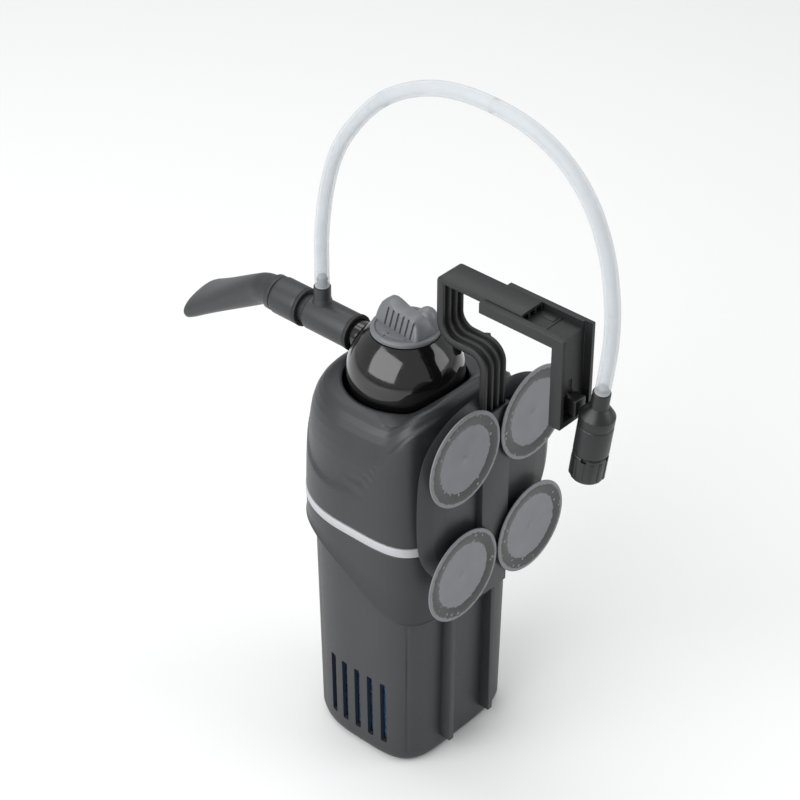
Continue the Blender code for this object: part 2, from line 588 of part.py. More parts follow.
def make_pump(mats):
    """Motor, rotor and their bearings inside the ball, and the flow gate under the knob."""
    at = Vector((0, BALL_Y, BALL_Z))
    lathes = [
        ("motor_block", [(8.2, -14), (14.6, -14), (14.6, -3), (1.7, -3), (1.7, -5.4), (8.2, -5.4)],
         "potting"),
        ("upper_bush", [(1.5, -7.4), (3.4, -7.4), (3.4, -5.8), (1.5, -5.8)], "ceramic"),
        ("impeller_shaft", rod_profile(1.2, -20.6, -4), "ceramic"),
        ("lower_bush", [(1.5, -20.8), (2, -20.8), (2, -19.2), (1.5, -19.2)], "ceramic"),
        ("impeller_cover", [(2.3, -20.9), (9, -20.9), (9, -19.1), (2.3, -19.1)], "inner"),
        ("flow_gate", [(8.6, -1.5), (8.6, 13.6), (4.6, 13.6), (4.6, 18.4), (0, 18.4),
                       (0, 12.2), (7.2, 12.2), (7.2, -1.5)], "inner"),
    ]
    for name, profile, mat in lathes:
        points = [(r * MM, h * MM) for r, h in profile]
        obj = add_object(name, turned_on(points, at, (0, 0, 1), 24), mats[mat], at)
        if name == "impeller_cover":
            holes = joined([turned_on(rod_profile(1.9 * MM, -24 * MM, -17 * MM),
                                      at + Vector((5.6 * MM * math.cos(t), 5.6 * MM * math.sin(t), 0)),
                                      (0, 0, 1), 10) for t in (0.4, 1.657, 2.913, 4.17, 5.427)])
            boolean(obj, add_object("inlet_tool", holes, mats[mat]), 'DIFFERENCE')
        if name == "flow_gate":
            window = turned_on(rod_profile(STUB_BORE, 2 * MM, 12 * MM), (0, BALL_Y, OUTLET_Z),
                               (0, 1, 0), 16)
            boolean(obj, add_object("window_tool", window, mats[mat]), 'DIFFERENCE')
    rotor = [(1.5, -18.6), (4, -18.6), (4, -15.2), (7.6, -15), (7.6, -7.8), (1.5, -7.8)]
    impeller = add_object("impeller", turned_on([(r * MM, h * MM) for r, h in rotor], at, (0, 0, 1), 24),
                          mats["rotor"], at)
    blades = joined([extruded([at + Matrix.Rotation(math.tau * i / 5, 3, 'Z') @ Vector(p) * MM
                               for p in ((2.6, -0.5, -18.4), (9.4, -0.5, -18.4),
                                         (9.4, 0.5, -18.4), (2.6, 0.5, -18.4))],
                              (0, 0, 3 * MM)) for i in range(5)])
    boolean(impeller, add_object("blade_tool", blades, mats["rotor"]), 'UNION')


def make_knob(mats):
    """Flow knob: a disc with a finger grip that runs across it."""
    low = BALL_TOP + GAP
    at = Vector((0, BALL_Y, low))
    thick = KNOB_DISC / MM
    disc = [(0, 0), (KNOB_R / MM, 0), (KNOB_R / MM, thick - 0.8), (KNOB_R / MM - 0.8, thick), (0, thick)]
    knob = add_object("flow_knob", turned_on([(r * MM, h * MM) for r, h in disc], at, (0, 0, 1), 32),
                      mats["knob"], at)
    rise = (KNOB_TOP - low) / MM
    side = [(-12.5, thick - 1), (12.5, thick - 1), (12.5, thick + 2), (10.5, rise - 1.5), (7, rise),
            (2.5, rise - 2.2), (-2.5, rise - 2.4), (-7, rise - 0.6), (-10.5, rise - 2.5),
            (-12.5, thick + 1)]
    foot_half, top_half = 6.2 * MM, 2.6 * MM
    outline = [at + Vector((-foot_half / MM, y, z)) * MM for y, z in side]
    grip = extruded(outline, (2 * foot_half, 0, 0))
    for vert in grip.verts:
        share = (vert.co.z - at.z) / (KNOB_TOP - low)
        vert.co.x *= 1 + (top_half / foot_half - 1) * share
    bmesh.ops.rotate(grip, cent=at, matrix=Matrix.Rotation(KNOB_TURN, 3, 'Z'), verts=grip.verts)
    boolean(knob, add_object("grip_tool", grip, mats["knob"]), 'UNION')
    tail = [(0, 1), (5.2, 1), (4.9, 4), (4.1, 7.4), (2.9, 9.4), (1.5, 10.4), (0, 10.7)]
    lobe = turned_on([(r * MM, h * MM) for r, h in tail], at + Vector((4.4, -7, 0)) * MM, (0, 0, 1), 20)
    boolean(knob, add_object("tail_tool", lobe, mats["knob"]), 'UNION')


# --------------------------------------------------------------------------- outlet train

def make_outlet(mats):
    """Seals, air tee and the sleeve that carries the fan nozzle."""
    at = (0, 0, OUTLET_Z)
    rings = [("outlet_seal", tube_profile(7.7 * MM, 6.3 * MM, 73.9 * MM, 75.2 * MM), "rubber"),
             ("sleeve_seal", tube_profile(8 * MM, 6.5 * MM, 100.9 * MM, 102.2 * MM), "rubber"),
             ("nozzle_sleeve", tube_profile(SLEEVE_R, 6.5 * MM, SLEEVE_START, SLEEVE_END), "housing")]
    for name, profile, mat in rings:
        add_object(name, turned_on(profile, at, (0, 1, 0), 22), mats[mat], (0, SLEEVE_START, OUTLET_Z))
    tee = [(6.3, 75.5), (7.4, 75.5), (7.4, 97.2), (6.9, 98), (6.2, 98), (6.2, 109), (4.6, 109),
           (4.6, 79.4), (6.3, 79.4)]
    points = [(r * MM, h * MM) for r, h in tee]
    body = add_object("venturi_tee", turned_on(points, at, (0, 1, 0), 22), mats["housing"],
                      (0, AIR_PORT_Y, OUTLET_Z))
    foot = (0, AIR_PORT_Y, 0)
    port = turned_on(rod_profile(AIR_PORT_R, OUTLET_Z + 5.5 * MM, AIR_PORT_TOP), foot, (0, 0, 1), 20)
    boolean(body, add_object("port_tool", port, mats["housing"]), 'UNION')
    bore = turned_on(rod_profile(1.2 * MM, OUTLET_Z, AIR_PORT_TOP + MM), foot, (0, 0, 1), 10)
    boolean(body, add_object("port_bore_tool", bore, mats["housing"]), 'DIFFERENCE')


def nozzle_ring(centre, along, wide, half_wide, half_high, power, points=20):
    """One ring across the nozzle, from round to flat as its power rises."""
    high = along.cross(wide)
    ring = []
    for i in range(points):
        t = math.tau * i / points
        c, s = math.cos(t), math.sin(t)
        a = half_wide * math.copysign(abs(c) ** (2 / power), c)
        b = half_high * math.copysign(abs(s) ** (2 / power), s)
        ring.append(centre + wide * a + high * b)
    return ring


def make_nozzle(mats):
    """Fan nozzle: a round root, a bend, and a flat mouth that spreads the outflow."""
    forward = Vector((0, 1, 0))
    wide = Vector((math.cos(NOZZLE_ROLL), 0, math.sin(NOZZLE_ROLL)))
    down = Vector((math.sin(NOZZLE_ROLL), 0, -math.cos(NOZZLE_ROLL)))
    outer, inner = [], []
    for y, radius in ((109.4, 6.2), (115.7, 6.2), (115.9, 7.5), (119, 7.5), (119.9, 6.7)):
        centre = Vector((0, y * MM, OUTLET_Z))
        outer.append(nozzle_ring(centre, forward, wide, radius * MM, radius * MM, 2))
    inner.append(nozzle_ring(Vector((0, 109.4 * MM, OUTLET_Z)), forward, wide, 4.7 * MM, 4.7 * MM, 2))
    centre = Vector((0, 119.9 * MM, OUTLET_Z))
    steps = 3
    for i in range(1, steps + 1):
        turn = NOZZLE_BEND * i / steps
        along = forward * math.cos(turn) + down * math.sin(turn)
        centre = centre + along * (2.4 * MM)
        outer.append(nozzle_ring(centre, along, wide, 6.4 * MM, 6.2 * MM, 2))
        inner.append(nozzle_ring(centre, along, wide, 4.6 * MM, 4.4 * MM, 2))
    fan = 5
    length = NOZZLE_LENGTH - steps * 2.4 * MM
    for i in range(1, fan + 1):
        t = i / fan
        spread = t ** 1.15
        half_wide = 6.4 * MM + (MOUTH_WIDTH / 2 - 6.4 * MM) * spread
        half_high = 6.2 * MM + (MOUTH_HEIGHT / 2 - 6.2 * MM) * smoothstep(t)
        point = centre + along * (length * t)
        power = 2 + 0.3 * t
        outer.append(nozzle_ring(point, along, wide, half_wide, half_high, power))
        inner.append(nozzle_ring(point, along, wide, half_wide - 1.5 * MM, half_high - 1.2 * MM, power))
    rings = outer + list(reversed(inner))
    add_object("fan_nozzle", ring_solid(rings, closed=True), mats["housing"], (0, 119 * MM, OUTLET_Z))


def make_hose(mats):
    """Air hose: a tube along its route, with filled ends."""
    curve = bpy.data.curves.new("air_hose", 'CURVE')
    curve.dimensions = '3D'
    curve.bevel_depth = HOSE_D / 2
    curve.bevel_resolution = 2
    curve.use_fill_caps = True
    points = smooth_route(HOSE_ROUTE, 2.2 * HOSE_D)
    spline = curve.splines.new('POLY')
    spline.points.add(len(points) - 1)
    for slot, point in zip(spline.points, points):
        slot.co = (*point, 1)
    curve.materials.append(mats["hose"])
    hose = bpy.data.objects.new("air_hose", curve)
    bpy.context.scene.collection.objects.link(hose)


def make_materials():
    """One Principled material for each kind of piece."""
    table = {
        "housing": ("4B4C4E", 0.42, 0), "container": ("515254", 0.4, 0), "plate": ("3A3B3D", 0.45, 0),
        "bracket": ("2C2D2F", 0.5, 0), "valve": ("232426", 0.45, 0), "ball": ("17181A", 0.15, 0),
        "knob": ("8E9093", 0.35, 0), "band": ("BFC1C4", 0.4, 0), "rubber": ("2E2F31", 0.7, 0),
        "inner": ("3C3E42", 0.5, 0), "basket": ("6A6D72", 0.5, 0), "media": ("B99F84", 0.9, 0),
        "foam": ("2F5B8C", 0.95, 0), "potting": ("26282B", 0.6, 0), "ceramic": ("E6E2DA", 0.3, 0),
        "rotor": ("F0F0EE", 0.4, 0), "hose": ("E4E7E8", 0.2, 0),
    }
    return {name: finish_material(name, *values) for name, values in table.items()}


def main():
    clear_scene()
    mats = make_materials()
    for make in (make_holder, make_cups, make_strap, make_clip, make_valve, make_housing, make_band,
                 make_socket, make_container, make_media, make_ball, make_pump, make_knob,
                 make_outlet, make_nozzle, make_hose):
        make(mats)


main()
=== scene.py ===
"""Looks of the hang-on-glass internal filter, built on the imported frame, in metres."""
import json
import math

import bmesh
import bpy
from mathutils import Matrix, Vector
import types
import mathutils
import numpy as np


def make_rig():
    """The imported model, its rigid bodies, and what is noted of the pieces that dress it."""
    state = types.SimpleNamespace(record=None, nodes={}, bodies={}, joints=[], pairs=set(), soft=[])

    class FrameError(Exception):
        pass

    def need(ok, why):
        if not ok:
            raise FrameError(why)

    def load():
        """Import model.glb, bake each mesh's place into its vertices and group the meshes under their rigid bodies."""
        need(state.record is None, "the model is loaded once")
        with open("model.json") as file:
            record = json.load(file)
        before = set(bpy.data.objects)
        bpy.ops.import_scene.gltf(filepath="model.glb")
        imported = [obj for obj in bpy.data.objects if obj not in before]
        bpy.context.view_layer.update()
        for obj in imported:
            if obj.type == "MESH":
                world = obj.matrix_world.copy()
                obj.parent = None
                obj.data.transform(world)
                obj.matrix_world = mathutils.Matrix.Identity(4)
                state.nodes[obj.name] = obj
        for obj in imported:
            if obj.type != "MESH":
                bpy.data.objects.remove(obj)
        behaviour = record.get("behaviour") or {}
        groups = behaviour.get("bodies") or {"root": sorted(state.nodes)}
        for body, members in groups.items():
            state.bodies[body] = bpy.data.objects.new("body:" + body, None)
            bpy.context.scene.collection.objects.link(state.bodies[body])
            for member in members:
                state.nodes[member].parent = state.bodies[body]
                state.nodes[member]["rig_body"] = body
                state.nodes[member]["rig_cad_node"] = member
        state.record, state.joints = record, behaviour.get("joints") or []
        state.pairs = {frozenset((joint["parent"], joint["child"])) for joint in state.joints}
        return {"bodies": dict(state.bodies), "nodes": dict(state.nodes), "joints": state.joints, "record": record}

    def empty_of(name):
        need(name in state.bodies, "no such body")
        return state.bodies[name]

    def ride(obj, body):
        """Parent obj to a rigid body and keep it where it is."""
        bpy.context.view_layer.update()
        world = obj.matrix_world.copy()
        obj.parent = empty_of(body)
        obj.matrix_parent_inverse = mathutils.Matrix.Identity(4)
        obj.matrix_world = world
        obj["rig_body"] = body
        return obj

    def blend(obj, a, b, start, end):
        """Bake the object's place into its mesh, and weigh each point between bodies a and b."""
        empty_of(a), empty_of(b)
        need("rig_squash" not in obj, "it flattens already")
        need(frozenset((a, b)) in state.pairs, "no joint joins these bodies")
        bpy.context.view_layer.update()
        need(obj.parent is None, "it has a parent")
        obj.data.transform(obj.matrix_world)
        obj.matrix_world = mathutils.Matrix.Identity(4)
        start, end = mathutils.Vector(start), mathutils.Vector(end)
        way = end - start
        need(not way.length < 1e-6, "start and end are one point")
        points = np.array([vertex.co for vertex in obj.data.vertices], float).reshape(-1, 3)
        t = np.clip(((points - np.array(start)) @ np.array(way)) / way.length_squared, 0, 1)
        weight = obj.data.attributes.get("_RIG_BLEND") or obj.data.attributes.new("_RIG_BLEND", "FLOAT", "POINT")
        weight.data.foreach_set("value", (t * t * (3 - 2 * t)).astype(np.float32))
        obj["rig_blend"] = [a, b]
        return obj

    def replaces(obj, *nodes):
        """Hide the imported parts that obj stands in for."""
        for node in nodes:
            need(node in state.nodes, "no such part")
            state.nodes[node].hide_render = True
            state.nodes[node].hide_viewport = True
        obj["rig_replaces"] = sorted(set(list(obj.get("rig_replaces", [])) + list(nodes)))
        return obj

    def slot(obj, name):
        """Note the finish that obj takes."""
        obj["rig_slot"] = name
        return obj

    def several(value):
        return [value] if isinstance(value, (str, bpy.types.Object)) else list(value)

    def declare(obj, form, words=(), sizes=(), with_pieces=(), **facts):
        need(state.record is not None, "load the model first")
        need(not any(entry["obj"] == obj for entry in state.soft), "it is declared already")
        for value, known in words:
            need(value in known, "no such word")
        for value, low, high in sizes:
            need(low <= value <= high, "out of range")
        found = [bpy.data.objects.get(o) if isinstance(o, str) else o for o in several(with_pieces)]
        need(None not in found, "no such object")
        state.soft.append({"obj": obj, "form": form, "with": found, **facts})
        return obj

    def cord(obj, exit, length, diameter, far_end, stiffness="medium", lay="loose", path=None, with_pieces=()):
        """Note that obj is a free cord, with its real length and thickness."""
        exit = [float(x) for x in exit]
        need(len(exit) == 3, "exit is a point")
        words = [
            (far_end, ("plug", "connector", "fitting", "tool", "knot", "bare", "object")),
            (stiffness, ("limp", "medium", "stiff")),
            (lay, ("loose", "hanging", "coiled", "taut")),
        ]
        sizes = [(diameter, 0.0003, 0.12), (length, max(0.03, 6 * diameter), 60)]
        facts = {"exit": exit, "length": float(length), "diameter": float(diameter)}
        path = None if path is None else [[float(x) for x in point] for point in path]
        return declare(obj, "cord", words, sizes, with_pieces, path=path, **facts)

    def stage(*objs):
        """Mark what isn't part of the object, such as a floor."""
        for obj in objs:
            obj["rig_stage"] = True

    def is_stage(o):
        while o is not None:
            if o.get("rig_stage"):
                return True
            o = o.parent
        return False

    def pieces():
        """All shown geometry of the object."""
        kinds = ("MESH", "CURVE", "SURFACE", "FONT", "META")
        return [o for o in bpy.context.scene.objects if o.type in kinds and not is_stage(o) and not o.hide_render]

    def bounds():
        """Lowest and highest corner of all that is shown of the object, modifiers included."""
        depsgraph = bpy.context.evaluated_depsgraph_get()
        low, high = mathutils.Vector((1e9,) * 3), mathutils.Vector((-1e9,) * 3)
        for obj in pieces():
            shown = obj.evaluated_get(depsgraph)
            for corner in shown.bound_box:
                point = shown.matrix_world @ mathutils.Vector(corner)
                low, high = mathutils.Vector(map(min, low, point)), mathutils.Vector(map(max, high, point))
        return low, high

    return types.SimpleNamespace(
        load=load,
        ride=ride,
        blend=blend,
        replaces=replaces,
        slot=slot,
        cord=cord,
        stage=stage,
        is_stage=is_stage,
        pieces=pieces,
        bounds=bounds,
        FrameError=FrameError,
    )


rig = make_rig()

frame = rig.load()
cad_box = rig.bounds()
cad = frame["nodes"]
MM = 0.001
SEAM = 0.005 * MM
DOUBLES = 0.001 * MM


# ---- hand tools -------------------------------------------------------------

def let_go():
    """Nothing is selected and nothing is being edited."""
    if bpy.context.object and bpy.context.object.mode == "EDIT":
        bpy.ops.object.mode_set(mode="OBJECT")
    bpy.ops.object.select_all(action="DESELECT")


def take_up(piece):
    """This piece alone is selected and active."""
    let_go()
    piece.select_set(True)
    bpy.context.view_layer.objects.active = piece


def edit(piece, kind="FACE"):
    """The piece in edit mode, with nothing on it selected."""
    take_up(piece)
    bpy.ops.object.mode_set(mode="EDIT")
    bpy.ops.mesh.select_mode(type=kind)
    bpy.ops.mesh.select_all(action="DESELECT")


def name_it(name):
    """Names the active object and its mesh alike."""
    piece = bpy.context.object
    piece.name = name
    piece.data.name = name
    return piece


def press_on(piece, kind, **settings):
    """Adds a modifier and applies it."""
    take_up(piece)
    modifier = piece.modifiers.new(kind.title(), kind)
    for key, value in settings.items():
        setattr(modifier, key, value)
    bpy.ops.object.modifier_apply(modifier=modifier.name)


def close_up(piece, angle=35):
    """Doubles merged, faces outwards, origin at zero, smooth below an angle."""
    edit(piece)
    bpy.ops.mesh.select_all(action="SELECT")
    bpy.ops.mesh.remove_doubles(threshold=DOUBLES)
    bpy.ops.mesh.normals_make_consistent(inside=False)
    bpy.ops.object.mode_set(mode="OBJECT")
    bpy.ops.object.transform_apply(location=True, rotation=True, scale=True)
    bpy.ops.object.shade_smooth_by_angle(angle=math.radians(angle))
    let_go()
    return piece


def drawn(name, spots):
    """A line drawn point by point, left in edit mode with all of it selected."""
    let_go()
    bpy.ops.mesh.primitive_plane_add(size=MM, location=(0, 0, 0))
    piece = name_it(name)
    edit(piece, "VERT")
    bpy.ops.mesh.select_all(action="SELECT")
    bpy.ops.mesh.merge(type="CENTER")
    bpy.ops.transform.translate(value=spots[0])
    for before, after in zip(spots, spots[1:]):
        bpy.ops.mesh.extrude_vertices_move(TRANSFORM_OT_translate={"value": after - before})
    bpy.ops.mesh.select_all(action="SELECT")
    return piece


def turned(name, profile, at, along=(0, 0, 1), steps=64):
    """A profile of (radius, height) points in mm, spun round an axis."""
    piece = drawn(name, [Vector((radius * MM, 0, height * MM)) for radius, height in profile])
    bpy.ops.mesh.spin(steps=steps, angle=2 * math.pi, center=(0, 0, 0), axis=(0, 0, 1))
    bpy.ops.mesh.select_all(action="SELECT")
    bpy.ops.mesh.remove_doubles(threshold=SEAM)
    bpy.ops.object.mode_set(mode="OBJECT")
    turn = Vector((0, 0, 1)).rotation_difference(Vector(along)).to_matrix().to_4x4()
    piece.data.transform(Matrix.Translation(Vector(at)) @ turn)
    return piece


NEARLY_STRAIGHT = math.radians(165)
SHORTEST_CORNER = 0.02


def rounded(profile, radius=0.5, bends=3):
    """The same profile with each sharp corner turned into a short arc, radius in mm."""
    out = []
    for index, here in enumerate(profile):
        if index in (0, len(profile) - 1):
            out.append(here)
            continue
        corner = Vector(here)
        back, on = Vector(profile[index - 1]) - corner, Vector(profile[index + 1]) - corner
        reach = min(radius, back.length * 0.45, on.length * 0.45)
        if reach < SHORTEST_CORNER or back.angle(on, 0) > NEARLY_STRAIGHT:
            out.append(here)
            continue
        start, end = corner + back.normalized() * reach, corner + on.normalized() * reach
        for step in range(bends + 1):
            part = step / bends
            out.append(tuple(start * (1 - part) ** 2 + corner * 2 * part * (1 - part) + end * part ** 2))
    return out


def cut_with(piece, tool, operation="DIFFERENCE"):
    """Cuts the piece with another, which is used up."""
    press_on(piece, "BOOLEAN", object=tool, operation=operation, solver="EXACT")
    bpy.data.objects.remove(tool)
    return piece


def box_tool(low, high, soft=0.0):
    """A block between two corners in mm, its edges softened by a bevel."""
    let_go()
    low, high = Vector(low) * MM, Vector(high) * MM
    bpy.ops.mesh.primitive_cube_add(size=1, location=(low + high) / 2)
    piece = name_it("block")
    piece.scale = high - low
    bpy.ops.object.transform_apply(location=True, rotation=True, scale=True)
    if soft:
        edit(piece, "EDGE")
        bpy.ops.mesh.select_all(action="SELECT")
        bpy.ops.mesh.bevel(offset=soft * MM, segments=3, affect="EDGES")
        bpy.ops.object.mode_set(mode="OBJECT")
    return piece


# ---- shaping helpers --------------------------------------------------------

def skinned(name, rings, closed=True):
    """Circles of equal count, each shaped to a section and faced to the next.

    A closed skin goes from the last back to the first, and an open one has both ends filled.
    """
    circles = []
    for ring in rings:
        let_go()
        bpy.ops.mesh.primitive_circle_add(vertices=len(ring), radius=MM)
        circle = bpy.context.object
        for point, spot in zip(circle.data.vertices, ring):
            point.co = spot
        for tag, values in (("ring", [len(circles)] * len(ring)), ("step", range(len(ring)))):
            circle.data.attributes.new(tag, "INT", "POINT").data.foreach_set("value", list(values))
        circles.append(circle)
    let_go()
    for circle in circles:
        circle.select_set(True)
    bpy.context.view_layer.objects.active = circles[0]
    bpy.ops.object.join()
    piece = name_it(name)
    edit(piece, "EDGE")
    mesh = bmesh.from_edit_mesh(piece.data)
    ring_tag, step_tag = mesh.verts.layers.int["ring"], mesh.verts.layers.int["step"]
    points = {(point[ring_tag], point[step_tag]): point for point in mesh.verts}
    count = len(rings[0])
    for low in range(len(rings) - (0 if closed else 1)):
        high = (low + 1) % len(rings)
        for step in range(count):
            after = (step + 1) % count
            mesh.faces.new((points[low, step], points[low, after], points[high, after], points[high, step]))
    if not closed:
        for end in (0, len(rings) - 1):
            mesh.faces.new([points[end, step] for step in range(count)])
    bmesh.update_edit_mesh(piece.data)
    bpy.ops.object.mode_set(mode="OBJECT")
    for tag in ("ring", "step"):
        piece.data.attributes.remove(piece.data.attributes[tag])
    return piece


def slab(name, spots, push):
    """A flat outline in mm, filled and extruded."""
    piece = drawn(name, [Vector(spot) * MM for spot in spots])
    bpy.ops.mesh.edge_face_add()
    bpy.ops.mesh.extrude_region_move(TRANSFORM_OT_translate={"value": Vector(push) * MM})
    bpy.ops.mesh.select_all(action="SELECT")
    bpy.ops.mesh.normals_make_consistent(inside=False)
    bpy.ops.object.mode_set(mode="OBJECT")
    return piece


def break_edges(piece, width, segments=2, angle=30):
    """The small radius a mould leaves on every edge, in mm."""
    press_on(piece, "BEVEL", width=width * MM, segments=segments, limit_method="ANGLE",
             angle_limit=math.radians(angle), use_clamp_overlap=True, harden_normals=False)
    return piece


def arc(radius, high, low, steps, middle=0.0):
    """Points down a sphere's side in mm, between two heights from its middle."""
    first, last = math.asin(high / radius), math.asin(low / radius)
    turns = [first + (last - first) * step / steps for step in range(steps + 1)]
    return [(radius * math.cos(t), middle + radius * math.sin(t)) for t in turns]


# ---- camera, floor and light ------------------------------------------------

TURN, RISE, FAR = math.radians(-48.15), math.radians(35.64), 875.45 * MM
AIM_LEFT, AIM_DOWN, CAMERA_DROP = 38.37 * MM, 32.82 * MM, Vector((0, 0, -MM))
LENS, SENSOR = 108, 36
camera_right = Vector((math.cos(TURN), math.sin(TURN), 0))
camera_back = Vector((math.sin(TURN) * math.cos(RISE), -math.cos(TURN) * math.cos(RISE), math.sin(RISE)))
camera_up = camera_back.cross(camera_right)
bpy.ops.object.camera_add()
camera = bpy.context.object
camera.name = "camera"
camera.data.lens = LENS
camera.data.sensor_width = SENSOR
seat = FAR * camera_back - AIM_LEFT * camera_right - AIM_DOWN * camera_up + CAMERA_DROP
turn = Matrix((camera_right, camera_up, camera_back)).transposed().to_4x4()
camera.matrix_world = Matrix.Translation(seat) @ turn
bpy.context.scene.camera = camera


def linear(code):
    """An sRGB hex colour as linear RGBA."""
    parts = [int(code[i:i + 2], 16) / 255 for i in (1, 3, 5)]
    return tuple(c / 12.92 if c <= 0.04045 else ((c + 0.055) / 1.055) ** 2.4 for c in parts) + (1.0,)


def add(tree, kind, settings=None, links=None):
    """Adds a node: settings go to its sockets or its own fields, links feed its sockets."""
    made = tree.nodes.new(kind)
    for key, value in (settings or {}).items():
        if isinstance(key, str) and hasattr(made, key):
            setattr(made, key, value)
        else:
            made.inputs[key].default_value = value
    for key, source in (links or {}).items():
        tree.links.new(source, made.inputs[key])
    return made


def soft_light(name, size, power, at, toward):
    """A large soft box."""
    bpy.ops.object.light_add(type="AREA", location=at)
    lamp = bpy.context.object
    lamp.name = name
    lamp.data.shape = "RECTANGLE"
    lamp.data.size, lamp.data.size_y = size
    lamp.data.energy = power
    way = (Vector(at) - Vector(toward)).normalized()
    lamp.rotation_euler = way.to_track_quat("Z", "Y").to_euler()
    return lamp


MIDDLE = (0, 0.03, -0.06)
soft_light("key_softbox", (1.5, 1.2), 20, (-1.15, 0.2, 0.62), MIDDLE)
soft_light("fill_softbox", (0.9, 0.9), 5, (0.65, -0.95, 0.55), MIDDLE)
soft_light("top_softbox", (1.2, 1.2), 9, (0.15, 0.45, 1.1), MIDDLE)
bpy.context.scene.view_settings.view_transform = "Standard"

FLOOR_Z = cad_box[0][2] - 0.4 * MM
bpy.ops.mesh.primitive_plane_add(size=12, location=(0, 0, FLOOR_Z))
floor = name_it("floor")
paper = bpy.data.materials.new("pale_paper_sweep")
paper.use_nodes = True
paper.node_tree.nodes.clear()
matt = add(paper.node_tree, "ShaderNodeBsdfPrincipled", {"Base Color": linear("#DEDEDE"), "Roughness": 0.9})
add(paper.node_tree, "ShaderNodeOutputMaterial", None, {"Surface": matt.outputs[0]})
floor.data.materials.append(paper)
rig.stage(floor)
studio = bpy.data.worlds.new("studio")
bpy.context.scene.world = studio
studio.use_nodes = True
sky = studio.node_tree.nodes["Background"].inputs
sky["Color"].default_value = linear("#F4F5F6")
sky["Strength"].default_value = 0.62


# ---- materials --------------------------------------------------------------

def start_material(name):
    """An empty node material with the piece's own coordinates, in metres."""
    material = bpy.data.materials.new(name)
    material.use_nodes = True
    material.node_tree.nodes.clear()
    place = add(material.node_tree, "ShaderNodeTexCoord").outputs["Object"]
    return material, material.node_tree, place


def moulded(name, dark, light, roughness, grain_mm, depth_mm, patch_mm=18, coat=0.0):
    """Plastic from a steel mould: two close shades in soft patches, a spark-eroded grain and uneven gloss."""
    material, tree, place = start_material(name)
    patches = add(tree, "ShaderNodeTexNoise", {"Scale": 1 / (patch_mm * MM), "Detail": 3, "Roughness": 0.6},
                  {"Vector": place}).outputs["Fac"]
    shade = add(tree, "ShaderNodeMix", {"data_type": "RGBA", 6: linear(dark), 7: linear(light)}, {0: patches})
    grain = add(tree, "ShaderNodeTexNoise", {"Scale": 1 / (grain_mm * MM), "Detail": 2}, {"Vector": place})
    gloss = add(tree, "ShaderNodeMapRange", {"From Min": 0.3, "From Max": 0.7, "To Min": roughness - 0.05,
                                             "To Max": roughness + 0.06}, {"Value": grain.outputs["Fac"]})
    bump = add(tree, "ShaderNodeBump", {"Strength": 0.6, "Distance": depth_mm * MM},
               {"Height": grain.outputs["Fac"]})
    skin = add(tree, "ShaderNodeBsdfPrincipled", {"IOR": 1.49, "Coat Weight": coat, "Coat Roughness": 0.08},
               {"Base Color": shade.outputs[2], "Roughness": gloss.outputs[0], "Normal": bump.outputs[0]})
    add(tree, "ShaderNodeOutputMaterial", None, {"Surface": skin.outputs[0]})
    return material


# Polypropylene, moulded with a fine grain: satin, waxy highlights, charcoal rather than black.
housing_pp = moulded("polypropylene_satin_charcoal", "#242527", "#2B2C2E", 0.42, 0.55, 0.02)
# Polypropylene of the container: the same, a little lighter and duller.
container_pp = moulded("polypropylene_satin_grey", "#292A2C", "#303133", 0.46, 0.55, 0.02)
# Holder in moulded ABS: satin charcoal.
holder_abs = moulded("abs_satin_charcoal", "#242527", "#2A2B2D", 0.44, 0.5, 0.02)
# Strap and clip in ABS with an eroded finish: flat black that still shows its edges.
bracket_abs = moulded("abs_eroded_black", "#161718", "#1C1D1E", 0.5, 0.45, 0.03)
# Valve, turned-look nylon: deep black with a low sheen.
valve_nylon = moulded("nylon_black", "#101112", "#161718", 0.38, 0.5, 0.015)
# Ball in polished ABS: mirror-black with a clear, sharp reflection.
ball_abs = moulded("abs_polished_black", "#0B0B0C", "#0E0E0F", 0.1, 3.0, 0.004, coat=0.4)
# Knob in silver-filled ABS: fine metal flake dulls it to a mid grey satin.
knob_abs = moulded("abs_silver_grey", "#5A5C5F", "#65676A", 0.34, 0.4, 0.012, patch_mm=6)
# Band in light grey ABS: pale, even, satin.
band_abs = moulded("abs_light_grey", "#A2A4A7", "#ACAEB1", 0.42, 0.5, 0.012)
# Nitrile seals: matt black rubber.
nitrile = moulded("nitrile_black", "#151516", "#1C1C1D", 0.62, 0.6, 0.02, patch_mm=4)
# Inner mouldings: plain dark plastic.
inner_abs = moulded("abs_inner_dark", "#26282C", "#2E3034", 0.48, 0.6, 0.02)
# Media basket: mid grey plastic.
basket_pp = moulded("polypropylene_mid_grey", "#62656A", "#6C6F74", 0.48, 0.6, 0.02)
# Epoxy round the coil: dark, slightly wavy, half gloss.
potting = moulded("epoxy_potting", "#1B1D20", "#222428", 0.3, 2.2, 0.05)
# Ground alumina: cream white, fine and even.
ceramic = moulded("alumina_ground", "#E4DFD6", "#EDE8E0", 0.3, 0.4, 0.004)
# Rotor moulding: white plastic.
rotor = moulded("rotor_white", "#E2E2E0", "#EAEAE8", 0.4, 0.5, 0.01)


